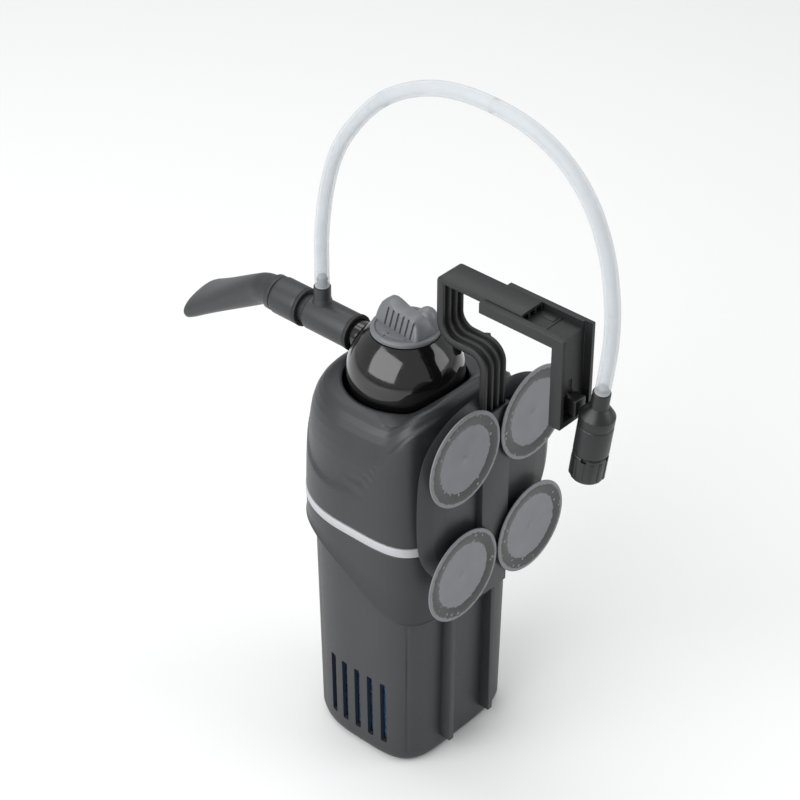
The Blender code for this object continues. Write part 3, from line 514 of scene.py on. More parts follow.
def granules():
    """Sintered clay granules about 5 mm across: rough, earthy, with painted shade in the gaps between them."""
    material, tree, place = start_material("clay_granules")
    cells = add(tree, "ShaderNodeTexVoronoi", {"Scale": 1 / (5 * MM)}, {"Vector": place})
    # Painted shade: each granule is light in its middle and darkens towards its edge and into the gaps.
    shade = add(tree, "ShaderNodeValToRGB", None, {"Fac": cells.outputs["Distance"]})
    shade.color_ramp.elements[0].color = linear("#C8A888")
    shade.color_ramp.elements[1].color = linear("#4A3626")
    bump = add(tree, "ShaderNodeBump", {"Strength": 1.0, "Distance": 1.2 * MM, "invert": True},
               {"Height": cells.outputs["Distance"]})
    skin = add(tree, "ShaderNodeBsdfPrincipled", {"Roughness": 0.85},
               {"Base Color": shade.outputs[0], "Normal": bump.outputs[0]})
    add(tree, "ShaderNodeOutputMaterial", None, {"Surface": skin.outputs[0]})
    return material


def open_foam():
    """Reticulated polyether foam, 20 pores to the inch: 1.3 mm cells with thin walls, matt blue, with painted shade
    deep in each pore.
    """
    material, tree, place = start_material("filter_foam_blue")
    cells = add(tree, "ShaderNodeTexVoronoi", {"Scale": 1 / (1.3 * MM), "feature": "DISTANCE_TO_EDGE"},
                {"Vector": place})
    # Painted shade: the light blue walls darken to navy towards the middle of each pore.
    shade = add(tree, "ShaderNodeValToRGB", None, {"Fac": cells.outputs["Distance"]})
    shade.color_ramp.elements[0].color = linear("#4474A8")
    shade.color_ramp.elements[1].color = linear("#0E2036")
    shade.color_ramp.elements[1].position = 0.25
    bump = add(tree, "ShaderNodeBump", {"Strength": 1.0, "Distance": 0.6 * MM, "invert": True},
               {"Height": cells.outputs["Distance"]})
    skin = add(tree, "ShaderNodeBsdfPrincipled", {"Roughness": 0.95},
               {"Base Color": shade.outputs[0], "Normal": bump.outputs[0]})
    add(tree, "ShaderNodeOutputMaterial", None, {"Surface": skin.outputs[0]})
    return material


def silicone():
    """Extruded silicone airline: milky, half clear through each wall, with a soft wet sheen."""
    material, tree, place = start_material("silicone_milky")
    haze = add(tree, "ShaderNodeTexNoise", {"Scale": 1 / (9 * MM), "Detail": 2}, {"Vector": place})
    shade = add(tree, "ShaderNodeMix", {"data_type": "RGBA", 6: linear("#BCC2C6"), 7: linear("#CBD0D3")},
                {0: haze.outputs["Fac"]})
    gloss = add(tree, "ShaderNodeMapRange", {"To Min": 0.24, "To Max": 0.36}, {"Value": haze.outputs["Fac"]})
    skin = add(tree, "ShaderNodeBsdfPrincipled", {"IOR": 1.41, "Alpha": 0.42},
               {"Base Color": shade.outputs[2], "Roughness": gloss.outputs[0]})
    add(tree, "ShaderNodeOutputMaterial", None, {"Surface": skin.outputs[0]})
    return material


def cup_skin():
    """Plasticised PVC pressed on glass: a dull grey dish inside a wet, dark, ragged ring of contact."""
    material, tree, place = start_material("pvc_soft_cup")
    reach = add(tree, "ShaderNodeAttribute", {"attribute_name": "from_centre"}).outputs["Fac"]
    ragged = add(tree, "ShaderNodeTexNoise", {"Scale": 1 / (2.2 * MM), "Detail": 5, "Roughness": 0.7},
                 {"Vector": place}).outputs["Fac"]
    pull = add(tree, "ShaderNodeMath", {"operation": "MULTIPLY_ADD", 1: 0.14, 2: -0.07},
               {0: ragged}).outputs[0]
    edge = add(tree, "ShaderNodeMath", {"operation": "ADD"}, {0: reach, 1: pull}).outputs[0]
    wet = add(tree, "ShaderNodeValToRGB", None, {"Fac": edge})
    ramp = wet.color_ramp
    ramp.elements[0].position, ramp.elements[0].color = 0.70, (0, 0, 0, 1)
    ramp.elements[1].position, ramp.elements[1].color = 0.72, (1, 1, 1, 1)
    for spot, shade in ((0.915, (1, 1, 1, 1)), (0.935, (0, 0, 0, 1))):
        ramp.elements.new(spot).color = shade
    bubbles = add(tree, "ShaderNodeTexVoronoi", {"Scale": 1 / (3.2 * MM), "Randomness": 1.0},
                  {"Vector": place}).outputs["Distance"]
    dry = add(tree, "ShaderNodeMapRange", {"From Min": 0.16, "From Max": 0.22}, {"Value": bubbles}).outputs[0]
    film = add(tree, "ShaderNodeMath", {"operation": "MULTIPLY"}, {0: wet.outputs["Color"], 1: dry})
    bloom = add(tree, "ShaderNodeTexNoise", {"Scale": 1 / (7 * MM), "Detail": 3},
                {"Vector": place}).outputs["Fac"]
    dull = add(tree, "ShaderNodeMix", {"data_type": "RGBA", 6: linear("#66686B"), 7: linear("#74767A")},
               {0: bloom})
    shade = add(tree, "ShaderNodeMix", {"data_type": "RGBA", 7: linear("#1B1C1D")},
                {0: film.outputs[0], 6: dull.outputs[2]})
    gloss = add(tree, "ShaderNodeMapRange", {"To Min": 0.5, "To Max": 0.22}, {"Value": film.outputs[0]})
    fine = add(tree, "ShaderNodeTexNoise", {"Scale": 1 / (0.7 * MM), "Detail": 2}, {"Vector": place})
    bump = add(tree, "ShaderNodeBump", {"Strength": 0.5, "Distance": 0.02 * MM},
               {"Height": fine.outputs["Fac"]})
    skin = add(tree, "ShaderNodeBsdfPrincipled", {"IOR": 1.53},
               {"Base Color": shade.outputs[2], "Roughness": gloss.outputs[0], "Normal": bump.outputs[0]})
    add(tree, "ShaderNodeOutputMaterial", None, {"Surface": skin.outputs[0]})
    return material


hose_silicone = silicone()
cup_pvc = cup_skin()


def paint(piece, material):
    """One material on the whole piece."""
    piece.data.materials.clear()
    piece.data.materials.append(material)
    return piece


def fit(piece, material, body, slot, *nodes):
    """The piece takes its finish, rides on its body and stands for its CAD nodes."""
    paint(piece, material)
    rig.ride(piece, body)
    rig.slot(piece, slot)
    if nodes:
        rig.replaces(piece, *nodes)
    return piece


# ---- air hose, in three lengths end to end ---------------------------------

HOSE_D = 6 * MM
HOSE_WALL = 1 * MM
HOSE_WAY = [(92.5, -30.2), (92.5, -20), (92, -5), (89, 15), (83, 34), (73, 50), (60, 64), (44, 74),
            (27, 79.5), (8, 80.5), (-10, 77.5), (-25, 70), (-36.5, 58), (-44, 42), (-47.7, 24),
            (-48.4, 8), (-47, -7), (-45.72, -15.9)]
HOSE_STEPS = 8
CUT_1, CUT_2 = 6 * HOSE_STEPS, 9 * HOSE_STEPS


def smooth_way(points, each=HOSE_STEPS):
    """Points close together along a soft curve through all of them."""
    way = [Vector((0, y * MM, z * MM)) for y, z in points]
    way = [way[0] * 2 - way[1]] + way + [way[-1] * 2 - way[-2]]
    out = []
    for a, b, c, d in zip(way, way[1:], way[2:], way[3:]):
        for step in range(each):
            t = step / each
            out.append(0.5 * (2 * b + (c - a) * t + (2 * a - 5 * b + 4 * c - d) * t ** 2
                              + (3 * b - a - 3 * c + d) * t ** 3))
    return out + [way[-2]]


hose_way = smooth_way(HOSE_WAY)


def hose_length(name, first, last):
    """A hollow length of hose: a bevelled curve, its ends squared and its wall pressed in."""
    let_go()
    bpy.ops.curve.primitive_bezier_curve_add(location=(0, 0, 0))
    line = bpy.context.object
    line.data.splines.clear()
    spline = line.data.splines.new("POLY")
    spline.points.add(last - first)
    for point, spot in zip(spline.points, hose_way[first:last + 1]):
        point.co = (*spot, 1)
    line.data.dimensions = "3D"
    line.data.bevel_depth = HOSE_D / 2
    line.data.bevel_resolution = 6
    bpy.ops.object.convert(target="MESH")
    piece = name_it(name)
    for end in (first, last):
        here = hose_way[end]
        way = (hose_way[min(end + 1, len(hose_way) - 1)] - hose_way[max(end - 1, 0)]).normalized()
        for point in piece.data.vertices:
            gap = point.co - here
            if gap.length < HOSE_D * 0.56 and abs(gap.dot(way)) < MM:
                point.co -= way * gap.dot(way)
    press_on(piece, "SOLIDIFY", thickness=HOSE_WALL, offset=-1, use_rim=True)
    close_up(piece, 50)
    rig.slot(paint(piece, hose_silicone), "hose_silicone")
    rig.replaces(piece, "air_hose")
    way = hose_way[first:last + 1]
    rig.cord(piece, exit=way[0], length=sum((b - a).length for a, b in zip(way, way[1:])), diameter=HOSE_D,
            far_end="object", stiffness="stiff", lay="loose", path=way)
    return piece


hose_rise = hose_length("air_hose_rise", 0, CUT_1)
hose_crown = hose_length("air_hose_crown", CUT_1, CUT_2)
hose_fall = hose_length("air_hose_fall", CUT_2, len(hose_way) - 1)
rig.blend(hose_rise, "pump_head", "filter", start=hose_way[10], end=hose_way[CUT_1 - 2])
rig.blend(hose_crown, "filter", "holder", start=hose_way[CUT_1 + 1], end=hose_way[CUT_2 - 1])
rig.blend(hose_fall, "holder", "hanger_clip", start=hose_way[CUT_2 + 1], end=hose_way[-12])


# ---- finishes of the solids --------------------------------------------------

NODES_BY_FINISH = (
    (holder_abs, ["holder_plate"]), (bracket_abs, ["hanger_strap", "hanger_clip"]),
    (cup_pvc, ["suction_cup_upper_left", "suction_cup_upper_right", "suction_cup_lower_left",
               "suction_cup_lower_right"]),
    (valve_nylon, ["valve_clip_arm", "valve_body", "valve_cap", "valve_needle"]),
    (housing_pp, ["upper_housing", "venturi_tee", "nozzle_sleeve", "fan_nozzle"]),
    (band_abs, ["band_ring"]), (container_pp, ["container"]), (ball_abs, ["pump_ball"]),
    (knob_abs, ["flow_knob"]), (inner_abs, ["ball_socket", "impeller_cover", "flow_gate"]),
    (nitrile, ["head_seal", "container_seal", "outlet_seal", "sleeve_seal", "cable_gland"]),
    (basket_pp, ["media_basket"]), (granules(), ["media_fill"]), (open_foam(), ["foam_block"]),
    (potting, ["motor_block"]), (ceramic, ["upper_bush", "lower_bush", "impeller_shaft"]),
    (rotor, ["impeller"]))
for finish, nodes in NODES_BY_FINISH:
    for node in nodes:
        paint(cad[node], finish)


# ---- pump head: ball, tee, sleeve, nozzle, knob ------------------------------

BALL_AT = Vector((0, 48.5, -50)) * MM
OUTLET_Z = -44.5 * MM
outlet_at = Vector((0, 0, OUTLET_Z))
OUTWARD = (0, 1, 0)

ball_outside, ball_inside = arc(23.3, 18.6, -21.27, 30), arc(21.5, -19.2, 16.8, 22)
ball_line = ([(5.2, 18.6)] + ball_outside[:-1] + [(9.6, -21.2), (9.5, -20.6), (9.5, -19.4)] + ball_inside
             + [(5.2, 16.8), (5.2, 18.6)])
ball = close_up(turned("pump_ball_shell", ball_line, BALL_AT, steps=96))
stub_line = rounded([(0, 66), (6, 66), (6, 79), (4.4, 79), (0, 79)], 0.4)
cut_with(ball, close_up(turned("stub", stub_line, outlet_at, OUTWARD, 48)), "UNION")
bore_line = [(0, 60.5), (4.4, 60.5), (4.4, 81), (0, 81)]
cut_with(ball, close_up(turned("bore", bore_line, outlet_at, OUTWARD, 48)))
GLAND_WAY = (math.sin(math.radians(48)), -math.cos(math.radians(48)), 0)
gland_at = BALL_AT + Vector((0, 0, 11.5 * MM))
hole_line = [(0, 12), (3.5, 12), (3.5, 27), (0, 27)]
cut_with(ball, close_up(turned("gland_hole", hole_line, gland_at, GLAND_WAY, 32)))
fit(close_up(ball, 30), ball_abs, "pump_head", "ball_plastic", "pump_ball")

gland_line = [(1.6, 33), (2.7, 33), (3.0, 31), (2.6, 30.6), (2.9, 30.2), (3.3, 28.4), (2.9, 28.0),
              (3.2, 27.6), (3.7, 25.8), (4.1, 25.2), (4.1, 23.4), (3.2, 23), (3.2, 17), (1.6, 17), (1.6, 33)]
gland = turned("cable_gland_sleeve", rounded(gland_line, 0.25), gland_at, GLAND_WAY, 40)
fit(close_up(gland), nitrile, "pump_head", "seal_rubber", "cable_gland")

tee_line = [(6.3, 75.5), (7.4, 75.5), (7.4, 97.2), (6.9, 98), (6.2, 98), (6.2, 109), (4.6, 109), (4.6, 79.4),
            (6.3, 79.4), (6.3, 75.5)]
tee = close_up(turned("venturi_tee_body", rounded(tee_line, 0.35), outlet_at, OUTWARD, 72))
port_foot = Vector((0, 92.5, -39)) * MM
port_line = [(0, 0), (4.4, 0), (3.9, 2.2), (3.5, 3.4), (3.5, 8.5), (2.2, 8.5), (2.2, 8.7), (2.0, 8.8),
             (2.0, 9.6), (2.45, 9.9), (1.95, 11.3), (1.95, 11.5), (2.4, 11.8), (1.6, 13.6), (0, 13.6)]
cut_with(tee, close_up(turned("air_port", rounded(port_line, 0.12), port_foot, steps=48)), "UNION")
air_way_line = [(0, -3), (1.0, -3), (1.0, 15), (0, 15)]
cut_with(tee, close_up(turned("air_way", air_way_line, port_foot, steps=24)))
fit(close_up(tee, 30), housing_pp, "pump_head", "housing_plastic", "venturi_tee")

sleeve_line = [(6.5, 102.5), (7.6, 102.5), (7.9, 103.4), (7.9, 114.6), (7.6, 115.5), (6.5, 115.5), (6.5, 102.5)]
sleeve = turned("nozzle_sleeve_ring", rounded(sleeve_line, 0.3), outlet_at, OUTWARD, 72)
fit(close_up(sleeve), housing_pp, "nozzle", "housing_plastic", "nozzle_sleeve")


def flat_ring(centre, along, wide, half_wide, half_high, power, count=64):
    """A ring across the nozzle, round at power 2 and boxier above it."""
    high = along.cross(wide)
    ring = []
    for step in range(count):
        c, s = math.cos(2 * math.pi * step / count), math.sin(2 * math.pi * step / count)
        ring.append(centre + wide * half_wide * math.copysign(abs(c) ** (2 / power), c)
                    + high * half_high * math.copysign(abs(s) ** (2 / power), s))
    return ring


def soft_step(value):
    """Climbs from 0 to 1 with a soft start and a soft end."""
    value = min(max(value, 0.0), 1.0)
    return value * value * (3 - 2 * value)


BEND, ROLL = math.radians(33), math.radians(15)
BEND_STEPS, BEND_LENGTH = 8, 7.2 * MM
FAN_STEPS, FAN_LENGTH = 16, 51.8 * MM
NECK_HALF_WIDE, NECK_HALF_HIGH = 6.5 * MM, 6.3 * MM
MOUTH_HALF_WIDE, MOUTH_HALF_HIGH = 11.8 * MM, 4.5 * MM
SPIGOT = [(109.4, 6.0), (109.7, 6.2), (115.7, 6.2), (115.9, 7.2), (116.2, 7.5), (118.7, 7.5), (119.0, 7.3),
          (119.3, 6.8), (119.9, 6.6)]
SPIGOT_BORE = 4.7 * MM
forward = Vector(OUTWARD)
wide = Vector((math.cos(ROLL), 0, math.sin(ROLL)))
down = Vector((math.sin(ROLL), 0, -math.cos(ROLL)))
outer, inner = [], []
for reach, radius in SPIGOT:
    outer.append(flat_ring(Vector((0, reach * MM, OUTLET_Z)), forward, wide, radius * MM, radius * MM, 2))
spigot_end = Vector((0, SPIGOT[0][0] * MM, OUTLET_Z))
inner.append(flat_ring(spigot_end, forward, wide, SPIGOT_BORE, SPIGOT_BORE, 2))
centre = Vector((0, SPIGOT[-1][0] * MM, OUTLET_Z))
for step in range(1, BEND_STEPS + 1):
    part = BEND * step / BEND_STEPS
    along = forward * math.cos(part) + down * math.sin(part)
    centre = centre + along * (BEND_LENGTH / BEND_STEPS)
    outer.append(flat_ring(centre, along, wide, NECK_HALF_WIDE, NECK_HALF_HIGH, 2))
    inner.append(flat_ring(centre, along, wide, NECK_HALF_WIDE - 1.8 * MM, NECK_HALF_HIGH - 1.8 * MM, 2))
for step in range(1, FAN_STEPS + 1):
    t = step / FAN_STEPS
    half_wide = NECK_HALF_WIDE + (MOUTH_HALF_WIDE - NECK_HALF_WIDE) * t ** 1.15
    half_high = NECK_HALF_HIGH + (MOUTH_HALF_HIGH - NECK_HALF_HIGH) * soft_step(t)
    spot = centre + along * (FAN_LENGTH * t)
    lip = 0.25 * MM if step == FAN_STEPS else 0
    power = 2 + 0.3 * t
    outer.append(flat_ring(spot, along, wide, half_wide - lip, half_high - lip, power))
    inner.append(flat_ring(spot, along, wide, half_wide - 1.5 * MM + lip, half_high - 1.2 * MM + lip, power))
nozzle = skinned("fan_nozzle_shell", outer + inner[::-1])
fit(close_up(nozzle, 40), housing_pp, "nozzle", "housing_plastic", "fan_nozzle")

knob_at = Vector((0, 48.5, -31.1)) * MM
KNOB_TURN = math.radians(-7)
disc_line = [(0, 0), (13.8, 0), (13.8, 1.3), (13.2, 1.9), (12.1, 1.9), (11.7, 1.4), (9, 1.3), (0, 1.3)]
knob = close_up(turned("flow_knob_grip", rounded(disc_line, 0.25), knob_at, steps=96))
FIN_HALF, FIN_TOP, FIN_TAPER = 6.2, 11.1, 0.58
fin_side = [(-12, 0.6), (12, 0.6), (12.2, 3), (11.8, 6), (10.8, 8.6), (9.2, 10.4), (7.2, FIN_TOP),
            (5.2, 10.9), (3.2, 10.1), (1.2, 9.2), (-0.8, 8.8), (-2.8, 8.9), (-4.8, 9.2), (-6.8, 9.3),
            (-8.6, 8.6), (-10.2, 7), (-11.4, 4.6), (-12, 2.4)]
fin = slab("fin", [(-FIN_HALF, y, z) for y, z in fin_side], (2 * FIN_HALF, 0, 0))
for point in fin.data.vertices:
    point.co.x *= 1 - FIN_TAPER * point.co.z / (FIN_TOP * MM)
break_edges(fin, 1.3, 4, 50)
for step in range(6):
    y = -8.6 + step * 2.9
    groove = box_tool((-0.9, y - 0.5, 0), (0.9, y + 0.5, 7.2), 0.3)
    lean = Matrix.Rotation(math.radians(18), 4, "Y")
    groove.data.transform(Matrix.Translation(Vector((-5.6, 0, 1.7)) * MM) @ lean)
    cut_with(fin, groove)
lobe_line = [(0, 0.8), (5.2, 0.8), (5.1, 2.6), (4.9, 4), (4.6, 5.8), (4.1, 7.4), (3.5, 8.6), (2.7, 9.6),
             (1.6, 10.4), (0.8, 10.65), (0, 10.7)]
lobe = close_up(turned("lobe", lobe_line, (4.4 * MM, -7 * MM, 0), steps=48))
fin.data.transform(Matrix.Rotation(KNOB_TURN, 4, "Z"))
for part in (fin, lobe):
    part.data.transform(Matrix.Translation(knob_at))
    cut_with(knob, part, "UNION")
arrow_line = [(-8.2, -6.4), (-9.2, -4.6), (-9.9, -2.4), (-10.1, 0), (-9.9, 2.0), (-11, 1.9), (-9.4, 4.6),
              (-7.9, 1.7), (-8.9, 1.9), (-9.1, 0), (-8.9, -2.2), (-8.3, -4.1), (-7.4, -5.8)]
arrow = slab("arrow", [(x, 48.5 + y, -29.9) for x, y in arrow_line], (0, 0, 0.45))
cut_with(knob, close_up(arrow), "UNION")
fit(close_up(knob, 35), knob_abs, "knob", "knob_plastic", "flow_knob")


# ---- filter body: housing, band, container ------------------------------------

HALF_X, FRONT, BACK, BODY_Y = 38.0, 38.0, 36.5, 48.5
FRONT_POWER, BACK_POWER = 2.3, 4.6
ROUND = 144


def back_rise(y, z):
    """How far the shoulder climbs towards the glass, in mm."""
    return 8.5 * soft_step((32 - y) / 14) * soft_step((z + 80) / 22)


def section(inset, height, lifted=False, extra=None):
    """The body's section in mm: oval in front, squarer towards the glass."""
    ring = []
    for step in range(ROUND):
        t = 2 * math.pi * step / ROUND
        c, s = math.cos(t), math.sin(t)
        power = 2 / (FRONT_POWER if s > 0 else BACK_POWER)
        sink = inset + (extra(t) if extra else 0)
        x = (HALF_X - sink) * math.copysign(abs(c) ** power, c)
        y = BODY_Y + ((FRONT if s > 0 else BACK) - sink) * math.copysign(abs(s) ** power, s)
        z = height(y) if callable(height) else height
        if lifted:
            z += back_rise(y, z)
        ring.append(Vector((x, y, z)) * MM)
    return ring


def round_hole(radius, height):
    """A ring of the hole that the ball sits in, with the shoulder's climb."""
    ring = []
    for step in range(ROUND):
        t = 2 * math.pi * step / ROUND
        x, y = radius * math.cos(t), BODY_Y + radius * math.sin(t)
        ring.append(Vector((x, y, height + back_rise(y, height))) * MM)
    return ring


def skirt(y):
    """The housing's lower edge, high in front and low towards the glass."""
    return -118 - 25 * soft_step((72 - y) / 60)


CREASE = [(12, -44), (22, -55), (26, -61), (30, -68), (35, -76), (40, -82), (45, -85.5), (50, -87.4),
          (56, -88.3), (62, -88), (70, -85.8), (76, -81), (81, -73), (84, -64), (87, -54)]
CREASE_DEPTH = 1.35


def crease_height(y):
    """The height of the crease in mm, straight between its points."""
    for (y0, z0), (y1, z1) in zip(CREASE, CREASE[1:]):
        if y <= y1:
            return z0 + (z1 - z0) * (y - y0) / (y1 - y0)
    return CREASE[-1][1]


def press_crease(ring):
    """The U-shaped crease on each side: the shoulder above it lies a little deeper than the wall below."""
    out = []
    for spot in ring:
        x, y, z = spot / MM
        above = z - crease_height(y)
        depth = CREASE_DEPTH * soft_step((above + 0.5) / 1.6) * soft_step((26 - above) / 24)
        depth *= soft_step((abs(x) - 10) / 14) * (1 - 0.55 * soft_step((y - 52) / 26))
        away = Vector((x, y - BODY_Y, 0)).normalized()
        out.append((Vector((x, y, z)) - away * depth) * MM)
    return out


walls = [(0.5, skirt), (-0.1, lambda y: skirt(y) + 0.15), (-0.35, lambda y: skirt(y) + 0.5),
         (-0.35, lambda y: skirt(y) + 0.9), (-0.1, lambda y: skirt(y) + 1.3), (0, lambda y: skirt(y) + 1.6),
         (0, lambda y: (skirt(y) - 107.5) / 2), (0, -107.9), (0.35, -107.5),
         (0.9, -107.5), (0.9, -103), (0.35, -103), (0, -102.6)]
climb = [(0, -101), (0.1, -97), (0.3, -90), (0.6, -84), (0.95, -78), (1.3, -73), (1.9, -68.5), (2.8, -64),
         (4, -60.5), (5.6, -57.5), (7.2, -55.5), (9, -54.2)]
CLIMB_STEPS = 7
rings = [section(inset, height, True) for inset, height in walls]
for (i0, z0), (i1, z1) in zip(climb, climb[1:]):
    for step in range(CLIMB_STEPS):
        part = step / CLIMB_STEPS
        rings.append(press_crease(section(i0 + (i1 - i0) * part, z0 + (z1 - z0) * part, True)))
rings.append(section(*climb[-1], True))
rings += [round_hole(26.6, -53.15), round_hole(25.8, -53), round_hole(24.9, -53.4), round_hole(24.6, -54.2),
          round_hole(25.2, -56.2)]
inner_walls = [(7.8, -60.2), (5, -66), (3.6, -74), (2.6, -92), (2.6, -110), (2.2, lambda y: skirt(y) + 0.2),
               (2.0, skirt)]
rings += [section(inset, height, True) for inset, height in inner_walls]
housing = close_up(skinned("upper_housing_shell", rings), 40)
tools = [box_tool((-13.6, 10.9, -66), (13.6, 12.4, -60))]
for side in (-1, 1):
    near, far = sorted((side * 11.1, side * 13.6))
    tools.append(box_tool((near, 6.9, -121), (far, 12.4, -62), 0.3))
    for low, high in ((-72, -62), (-118, -108)):
        near, far = sorted((side * 8.4, side * 11.5))
        tools.append(box_tool((near, 6.9, low), (far, 8.5, high), 0.2))
tools.append(box_tool((-13.6, 9.1, -61.7), (13.6, 13, -58.5), 0.3))
for tool in tools:
    cut_with(housing, tool, "UNION")
fit(close_up(housing, 40), housing_pp, "filter", "housing_plastic", "upper_housing")

band_line = [(-0.1, -107.2), (-0.25, -107.0), (-0.25, -103.5), (-0.1, -103.3), (0.6, -103.3), (0.6, -107.2)]
band = close_up(skinned("band_ring_light", [section(inset, height) for inset, height in band_line]), 40)
cut_with(band, box_tool((-14, 5, -108.5), (14, 14, -102)))
fit(close_up(band, 40), band_abs, "filter", "band_plastic", "band_ring")


def panel_lines(t):
    """Two fine upright grooves on each side of the container."""
    groove = 0.0
    for line in (33.5, 146.5, 222, 318):
        gap = abs(math.degrees(t) - line)
        groove = max(groove, 0.45 * (1 - soft_step((gap - 0.5) / 1.4)))
    return groove


CAN_TOP, CAN_HEIGHT = -106, 116
CAN_INSET, CAN_TAPER = 3.1, 1.6


def can_ring(extra, height, lines=False):
    """A ring of the container, which narrows downwards, drawn in by an extra amount in mm."""
    inset = CAN_INSET + CAN_TAPER * (CAN_TOP - height) / CAN_HEIGHT + extra
    return section(inset, height, extra=panel_lines if lines else None)


rings = [can_ring(4.4, -222), can_ring(3.2, -221.9), can_ring(1.5, -221.2), can_ring(0.5, -219.8),
         can_ring(0, -218), can_ring(0, -216), can_ring(0, -215.4, True), can_ring(0, -170, True),
         can_ring(0, -123.6, True), can_ring(0, -123), can_ring(0, -106.3), can_ring(0.3, CAN_TOP),
         can_ring(1.7, CAN_TOP), can_ring(2, -106.3), can_ring(2, -217), can_ring(4.5, -219.8)]
canister = close_up(skinned("container_shell", rings, closed=False), 40)
for y in (31, 38, 45, 52, 59):
    cut_with(canister, box_tool((-60, y - 1.5, -213), (60, y + 1.5, -181), 0.7))
for x in (-12.4, 12.4):
    cut_with(canister, box_tool((x - 1.3, 11.6, -214), (x + 1.3, 17, -146), 0.35), "UNION")
fit(close_up(canister, 40), container_pp, "container", "container_plastic", "container")


# ---- holder, cups, strap, clip and valve ---------------------------------------

CUP_SPOTS = {"upper_left": (-20.5, -58), "upper_right": (20.5, -58), "lower_left": (-20.5, -114),
             "lower_right": (20.5, -114)}


PLATE_HALF_WIDE, PLATE_HALF_HIGH, PLATE_Z = 39.3, 48, -89


def plate_line(draw_in, depth):
    """The holder plate's outline in mm, its corners cut soft, drawn in by the flare, at a depth."""
    half = [(0, -41), (13, -41), (24, -44), (33, -50), (37.5, -57.5), (39.3, -70), (39.3, -92), (36.8, -103),
            (30.5, -113), (14, -134.5), (8, -137), (0, -137)]
    line = half + [(-x, z) for x, z in reversed(half[1:-1])]
    for _ in range(3):
        line = [(a * w[0] + c * w[1], b * w[0] + d * w[1])
                for (a, b), (c, d) in zip(line, line[1:] + line[:1]) for w in ((0.75, 0.25), (0.25, 0.75))]
    across, upright = 1 - draw_in / PLATE_HALF_WIDE, 1 - draw_in / PLATE_HALF_HIGH
    return [Vector((x * across, depth, PLATE_Z + (z - PLATE_Z) * upright)) * MM for x, z in line]


dish = [(6.3, 6.3), (6.0, 6.35), (2.0, 8.1), (1.6, 8.2), (0.3, 8.2), (0, 8.0), (0.2, 7.7), (5.2, 4.75),
        (5.8, 4.5)]
plate = skinned("holder_plate_dish", [plate_line(inset, depth) for inset, depth in dish], closed=False)
close_up(plate, 40)
boss_line = rounded([(0, 0.2), (7, 0.2), (7, 1.8), (0, 1.8)], 0.2)
for x, z in CUP_SPOTS.values():
    boss = turned("boss", boss_line, (x * MM, 4.5 * MM, z * MM), OUTWARD, 48)
    cut_with(plate, close_up(boss), "UNION")
cut_with(plate, box_tool((-7.9, 1.9, -134), (7.9, 8.8, -47), 0.35), "UNION")
cut_with(plate, box_tool((-10.7, 8.65, -132), (10.7, 10.4, -62), 0.3), "UNION")
for side in (-1, 1):
    near, far = sorted((side * 8.1, side * 12))
    cut_with(plate, box_tool((near, 8.7, -107.3), (far, 12, -94.7)))
cut_with(plate, box_tool((-6.4, 3.05, -98.5), (6.4, 6.95, -39)))
cut_with(plate, box_tool((-6.4, 0, -47), (6.4, 9.15, -38)))
for x, z in CUP_SPOTS.values():
    at = (x * MM, 4.5 * MM, z * MM)
    cut_with(plate, close_up(turned("hole", [(0, -2), (3.9, -2), (3.9, 5), (0, 5)], at, OUTWARD, 32)))
    cut_with(plate, close_up(turned("room", [(0, 1.8), (5.6, 1.8), (5.6, 9), (0, 9)], at, OUTWARD, 32)))
fit(close_up(plate, 35), holder_abs, "holder", "holder_plastic", "holder_plate")


CUP_RADIUS, CUP_FACE_DEPTH = 20, 0.75
CUP_LINE = [(0, 0.45), (1.0, 0.5), (1.5, 0.75), (2.4, 0.9), (8, 0.84), (12.5, 0.62), (14.6, 0.3), (16.3, 0.0),
            (19.5, 0.0), (CUP_RADIUS, 0.2), (CUP_RADIUS, 0.7), (19.4, 0.95), (16, 1.25), (12, 1.7), (9.4, 2.7),
            (7.6, 4.15), (6.8, 4.2), (3.4, 4.2), (3.4, 6.7), (4.8, 6.8), (5, 7.0), (5, 8.2), (4.6, 8.8),
            (3.4, 9.2), (0, 9.2)]
for place_name, (x, z) in CUP_SPOTS.items():
    at = Vector((x, 0, z)) * MM
    cup = turned("suction_cup_" + place_name + "_pvc", rounded(CUP_LINE, 0.3), at, OUTWARD, 96)
    close_up(cup, 40)
    mark = cup.data.attributes.new("from_centre", "FLOAT", "POINT")
    for tag, point in zip(mark.data, cup.data.vertices):
        gap = point.co - at
        on_face = gap.y < CUP_FACE_DEPTH * MM
        tag.value = math.hypot(gap.x, gap.z) / (CUP_RADIUS * MM) if on_face else 0.5
    fit(cup, cup_pvc, "holder", "cup_rubber", "suction_cup_" + place_name)


def bend(y, z, radius, first, last, steps):
    """Points in mm round a bend of the strap, between two angles in degrees."""
    turns = [math.radians(first + (last - first) * step / steps) for step in range(steps + 1)]
    return [(y + radius * math.cos(t), z + radius * math.sin(t)) for t in turns]


